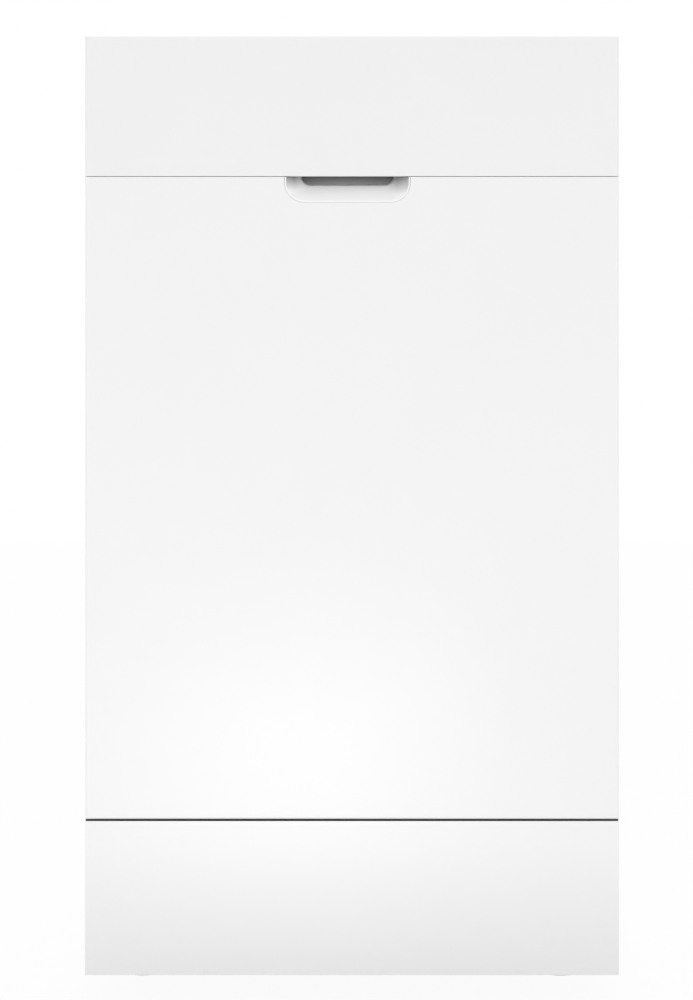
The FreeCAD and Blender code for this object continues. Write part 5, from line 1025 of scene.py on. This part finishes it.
class DISHWASHER_OT_lower_rack(bpy.types.Operator):
    """Lower rack: bent wires, plate tines, wheel brackets, folding row, basket and wheels"""

    bl_idname = "dishwasher.lower_rack"
    bl_label = "Lower rack"

    def execute(self, context):
        sizes = context.scene.dishwasher_sizes
        thin = sizes.thin_wire
        fold_low, fold_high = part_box("folding_tines")
        bar_z = fold_low.z + thin
        floor = bar_z - sizes.fold_rise
        half = sizes.lower_half_width
        rows = rack_rows(LOWER_LOW, LOWER_HIGH)
        parts = rack_frame(
            "lower_rack", half, LOWER_LOW.y, LOWER_HIGH.y, floor, LOWER_HIGH.z,
            floor + sizes.lower_middle_rim)
        parts.append(hairpins("lower_tines", rows[3], floor, sizes.tine_height + thin))
        for x in (fold_low.x + sizes.clip_inset, fold_high.x - sizes.clip_inset):
            parts.append(self.clip(x, rows[4], floor, bar_z))
        for node in ("front_wheels", "rear_wheels"):
            low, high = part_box(node)
            for side in (-1, 1):
                parts.append(self.bracket(side, (low + high) / 2, floor, high.x, half))
        hand_over(join(parts, "lower_rack_wires"), "lower_rack")
        self.folding_row(rows[4], bar_z, fold_low, fold_high)
        dressed_copy("cutlery_basket", sizes.moulded_edge, 1)
        dress(("front_wheels", "rear_wheels"), sizes.moulded_edge)
        return {"FINISHED"}

    def clip(self, x, y, floor, bar_z):
        """Moulded clip that snaps over a floor wire and holds the folding bar."""
        clip = new_box(
            "tine_clip", (x - CLIP_WIDE, y - CLIP_DEEP, floor + CLIP_FOOT),
            (x + CLIP_WIDE, y + CLIP_DEEP, bar_z + CLIP_HEAD))
        pick(clip, "EDGE", lambda centre, edge: centre.z > bar_z and self.runs_across(edge))
        bpy.ops.mesh.bevel(offset=CLIP_ROUND, segments=5, affect="EDGES")
        leave_edit()
        soften(clip, CLIP_EDGE)
        return clip

    def runs_across(self, edge):
        """Whether an edge runs from side to side."""
        return abs(edge.verts[0].co.x - edge.verts[1].co.x) > NEAR

    def bracket(self, side, axle, floor, outer, half):
        """Moulded wheel bracket: dished plate, boss, axle stub and end cap."""
        sizes = bpy.context.scene.dishwasher_sizes
        inner = half - 2 * sizes.rim_wire
        plate = new_box(
            "bracket", (inner, axle.y - BRACKET_HALF, axle.z - BRACKET_FOOT),
            (inner + BRACKET_THICK, axle.y + BRACKET_HALF, floor + BRACKET_RISE))
        pick(plate, "EDGE", lambda centre, edge: self.runs_across(edge))
        bpy.ops.mesh.bevel(offset=BRACKET_CORNER, segments=6, affect="EDGES")
        leave_edit()
        pick(plate, "FACE", lambda centre, normal: normal.x > FACING)
        bpy.ops.mesh.inset(thickness=BRACKET_BORDER, depth=0)
        bpy.ops.transform.translate(value=(-BRACKET_DISH, 0, 0))
        leave_edit()
        gap, wheel = sizes.wheel_gap, sizes.wheel_width
        parts = [plate]
        for start, end, radius in (
            (inner + AXLE_SINK, outer - wheel - gap, BOSS_RADIUS),
            (outer - wheel - AXLE_SINK, outer + gap + AXLE_SINK, AXLE_RADIUS),
            (outer + gap, outer + gap + CAP_THICK, BOSS_RADIUS),
        ):
            parts.append(new_rod("axle", (start, axle.y, axle.z), (end, axle.y, axle.z), radius, 32))
        for part in parts:
            soften(part, BRACKET_EDGE)
        bracket = join(parts, "wheel_bracket")
        if side < 0:
            self.to_other_side(bracket)
        return bracket

    def to_other_side(self, piece):
        """Mirror a piece across the middle of the machine and turn its faces outwards again."""
        work_on(piece)
        piece.scale.x = -1
        bpy.ops.object.transform_apply(location=False, rotation=False, scale=True)
        bpy.ops.object.mode_set(mode="EDIT")
        bpy.ops.mesh.select_all(action="SELECT")
        bpy.ops.mesh.normals_make_consistent(inside=False)
        leave_edit()

    def folding_row(self, y, z, low, high):
        """Row of hairpin tines welded to the bar that turns in the clips."""
        thin = bpy.context.scene.dishwasher_sizes.thin_wire
        bar = new_rod("folding_bar", (low.x, y, z), (high.x, y, z), thin, 16)
        soften(bar, CLIP_EDGE)
        tines = hairpins("folding_hairpins", y, z, high.z - z - thin)
        hand_over(join([bar, tines], "folding_tine_row"), "folding_tines")


# Runners: start behind the rail's front, half the waist, play of the head and rounding
RUNNER_START = 0.004
RUNNER_HALF = 0.004
RUNNER_PLAY = 0.0021
RUNNER_SINK = 0.0002
RUNNER_EDGE = 0.0012


class DISHWASHER_OT_upper_rack(bpy.types.Operator):
    """Upper rack: bent wires, cup tines, runners, manifold and its spray arm"""

    bl_idname = "dishwasher.upper_rack"
    bl_label = "Upper rack"

    def execute(self, context):
        sizes = context.scene.dishwasher_sizes
        rail_low, rail_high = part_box("rack_rails")
        floor = UPPER_HIGH.z - sizes.upper_height
        rows = rack_rows(UPPER_LOW, UPPER_HIGH)
        parts = rack_frame(
            "upper_rack", sizes.upper_half_width, UPPER_LOW.y, UPPER_HIGH.y, floor, UPPER_HIGH.z,
            (rail_low.z + rail_high.z) / 2)
        for row in (rows[2], rows[4]):
            parts.append(hairpins("cup_tines", row, floor, sizes.cup_tine_height + sizes.thin_wire))
        for side in (-1, 1):
            parts += self.runner(side, rail_low, rail_high, sizes)
        hand_over(join(parts, "upper_rack_wires"), "upper_rack")
        dressed_copy("upper_manifold", sizes.moulded_edge, 3)
        dressed_copy("upper_spray_arm", sizes.moulded_edge)
        return {"FINISHED"}

    def runner(self, side, low, high, sizes):
        """Sliding bar in the wall rail with a waist between rack and rail."""
        middle = (low.z + high.z) / 2
        front, rear = low.y + RUNNER_START, UPPER_HIGH.y
        inner = sizes.upper_half_width - NEAR
        lip = high.x - sizes.rail_depth + sizes.rail_sheet + sizes.runner_gap
        back = high.x - sizes.rail_sheet - sizes.runner_gap
        bars = []
        for name, near, far, foot, top in (
            ("runner_web", inner, lip + RUNNER_SINK, middle - RUNNER_HALF, middle + RUNNER_HALF),
            ("runner_head", lip, back, low.z + RUNNER_PLAY, high.z - RUNNER_PLAY),
        ):
            x0, x1 = sorted((side * near, side * far))
            bar = new_box(name, (x0, front, foot), (x1, rear, top))
            soften(bar, RUNNER_EDGE, 3)
            bars.append(bar)
        return bars


# Casing and machinery


class DISHWASHER_OT_casing(bpy.types.Operator):
    """Side, top and back sheets with the brackets on them"""

    bl_idname = "dishwasher.casing"
    bl_label = "Casing"

    def execute(self, context):
        sizes = context.scene.dishwasher_sizes
        sheets = (
            "left_side_panel", "right_side_panel", "top_cover", "rear_panel", "worktop_brackets",
            "hinge_brackets", "plinth_screws",
        )
        dress(sheets, sizes.sheet_edge)
        return {"FINISHED"}


class DISHWASHER_OT_machinery(bpy.types.Operator):
    """Base tray, feet, pumps, tanks and the connections at the back"""

    bl_idname = "dishwasher.machinery"
    bl_label = "Base and machinery"

    def execute(self, context):
        sizes = context.scene.dishwasher_sizes
        mouldings = (
            "base_tray", "sump", "circulation_pump", "drain_pump", "water_softener", "air_break_tank",
            "inlet_valve", "mains_inlet", "drain_outlet",
        )
        dress(mouldings, sizes.moulded_edge)
        for foot in dress(("foot_front_left", "foot_front_right", "rear_feet"), sizes.moulded_edge):
            coat(foot, "white_moulding")
        return {"FINISHED"}


class DISHWASHER_OT_paint(bpy.types.Operator):
    """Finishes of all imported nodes, so that the ones that still show have theirs"""

    bl_idname = "dishwasher.paint"
    bl_label = "Paint packed nodes"

    def execute(self, context):
        for node, piece in NODES.items():
            coat(piece, FINISH_OF[SLOT_OF[node]])
        return {"FINISHED"}


# Stage


class DISHWASHER_OT_stage(bpy.types.Operator):
    """Pale floor, soft studio light and the camera straight in front"""

    bl_idname = "dishwasher.stage"
    bl_label = "Stage"

    def execute(self, context):
        studio = context.scene.dishwasher_stage
        self.floor(studio)
        self.air(context, studio)
        self.lamp(
            "front_lamp", studio.front_place, studio.front_aim, studio.front_size, studio.front_power)
        self.lamp("top_lamp", studio.top_place, studio.top_aim, studio.top_size, studio.top_power)
        self.camera(context, studio)
        context.scene.view_settings.view_transform = "Standard"
        return {"FINISHED"}

    def floor(self, studio):
        """Wide floor of white paper that keeps a faint shadow."""
        deselect()
        bpy.ops.mesh.primitive_plane_add(size=studio.floor_size, location=(0, 0, -studio.floor_drop))
        floor = added("studio_floor")
        paper = bpy.data.materials.new("studio_paper")
        paper.use_nodes = True
        tree = paper.node_tree
        sheet = tree.nodes["Principled BSDF"]
        sheet.inputs["Base Color"].default_value = (*studio.floor_paper, 1.0)
        sheet.inputs["Roughness"].default_value = 0.9
        sheet.inputs["Specular IOR Level"].default_value = 0.0
        white = tree.nodes.new("ShaderNodeEmission")
        white.inputs["Color"].default_value = (1.0, 1.0, 1.0, 1.0)
        white.inputs["Strength"].default_value = 1.0
        share = tree.nodes.new("ShaderNodeMath")
        share.operation = "MULTIPLY"
        share.inputs[1].default_value = studio.floor_white
        mix = tree.nodes.new("ShaderNodeMixShader")
        tree.links.new(self.seen(tree), share.inputs[0])
        tree.links.new(share.outputs[0], mix.inputs["Fac"])
        tree.links.new(sheet.outputs[0], mix.inputs[1])
        tree.links.new(white.outputs[0], mix.inputs[2])
        tree.links.new(mix.outputs[0], tree.nodes["Material Output"].inputs["Surface"])
        floor.data.materials.append(paper)

    def seen(self, tree):
        """One for what shows straight to the camera, in gloss or through clear pieces."""
        path = tree.nodes.new("ShaderNodeLightPath")
        total = path.outputs["Is Camera Ray"]
        for name in ("Is Glossy Ray", "Is Transmission Ray"):
            either = tree.nodes.new("ShaderNodeMath")
            either.operation = "MAXIMUM"
            tree.links.new(total, either.inputs[0])
            tree.links.new(path.outputs[name], either.inputs[1])
            total = either.outputs[0]
        return total

    def air(self, context, studio):
        """Even white light from all round, and a white background behind it."""
        world = bpy.data.worlds.new("studio")
        context.scene.world = world
        world.use_nodes = True
        tree = world.node_tree
        soft = tree.nodes["Background"]
        soft.inputs["Color"].default_value = (1.0, 1.0, 1.0, 1.0)
        soft.inputs["Strength"].default_value = studio.air_strength
        white = tree.nodes.new("ShaderNodeBackground")
        white.inputs["Color"].default_value = (1.0, 1.0, 1.0, 1.0)
        white.inputs["Strength"].default_value = 1.0
        mix = tree.nodes.new("ShaderNodeMixShader")
        tree.links.new(self.seen(tree), mix.inputs["Fac"])
        tree.links.new(soft.outputs[0], mix.inputs[1])
        tree.links.new(white.outputs[0], mix.inputs[2])
        tree.links.new(mix.outputs[0], tree.nodes["World Output"].inputs["Surface"])

    def lamp(self, name, place, aim, size, power):
        deselect()
        bpy.ops.object.light_add(type="AREA", location=place)
        lamp = bpy.context.object
        lamp.name = name
        lamp.data.shape = "RECTANGLE"
        lamp.data.size, lamp.data.size_y = size
        lamp.data.energy = power
        lamp.rotation_euler = (Vector(aim) - Vector(place)).to_track_quat("-Z", "Y").to_euler()

    def camera(self, context, studio):
        """Camera square to the front, so far away that the image is as tall as the photograph shows."""
        deselect()
        seen_height = studio.image_height * studio.pixel_size
        distance = seen_height * studio.lens / studio.sensor
        bpy.ops.object.camera_add(
            location=(studio.centre_x, FRONT_LOW.y - distance, studio.centre_z),
            rotation=(QUARTER_TURN, 0, 0))
        camera = bpy.context.object
        camera.name = "front_camera"
        camera.data.lens = studio.lens
        camera.data.sensor_width = studio.sensor
        context.scene.camera = camera


class DISHWASHER_PT_panel(bpy.types.Panel):
    """Lists the sizes, colours and steps that dress the dishwasher"""

    bl_idname = "DISHWASHER_PT_panel"
    bl_label = "Dishwasher"
    bl_space_type = "VIEW_3D"
    bl_region_type = "UI"
    bl_category = "Dishwasher"

    def draw(self, context):
        layout = self.layout
        scene = context.scene
        for group in (scene.dishwasher_sizes, scene.dishwasher_colours, scene.dishwasher_stage):
            box = layout.box()
            for name in group.__annotations__:
                box.prop(group, name)
        for step in STEPS:
            layout.operator(step.bl_idname)


STEPS = (
    DISHWASHER_OT_paint,
    DISHWASHER_OT_front,
    DISHWASHER_OT_pull,
    DISHWASHER_OT_controls,
    DISHWASHER_OT_inner_door,
    DISHWASHER_OT_tub,
    DISHWASHER_OT_seal,
    DISHWASHER_OT_lower_rack,
    DISHWASHER_OT_upper_rack,
    DISHWASHER_OT_casing,
    DISHWASHER_OT_machinery,
    DISHWASHER_OT_stage,
)
GROUPS = (DishwasherSizes, DishwasherColours, DishwasherStage)


def register():
    for cls in GROUPS + STEPS + (DISHWASHER_PT_panel,):
        bpy.utils.register_class(cls)
    bpy.types.Scene.dishwasher_sizes = bpy.props.PointerProperty(type=DishwasherSizes)
    bpy.types.Scene.dishwasher_colours = bpy.props.PointerProperty(type=DishwasherColours)
    bpy.types.Scene.dishwasher_stage = bpy.props.PointerProperty(type=DishwasherStage)


def unregister():
    del bpy.types.Scene.dishwasher_stage
    del bpy.types.Scene.dishwasher_colours
    del bpy.types.Scene.dishwasher_sizes
    for cls in reversed(GROUPS + STEPS + (DISHWASHER_PT_panel,)):
        bpy.utils.unregister_class(cls)


def main():
    register()
    bpy.ops.dishwasher.paint()
    bpy.ops.dishwasher.front()
    bpy.ops.dishwasher.pull()
    bpy.ops.dishwasher.controls()
    bpy.ops.dishwasher.inner_door()
    bpy.ops.dishwasher.tub()
    bpy.ops.dishwasher.seal()
    bpy.ops.dishwasher.lower_rack()
    bpy.ops.dishwasher.upper_rack()
    bpy.ops.dishwasher.casing()
    bpy.ops.dishwasher.machinery()
    bpy.ops.dishwasher.stage()


if __name__ == "__main__":
    main()
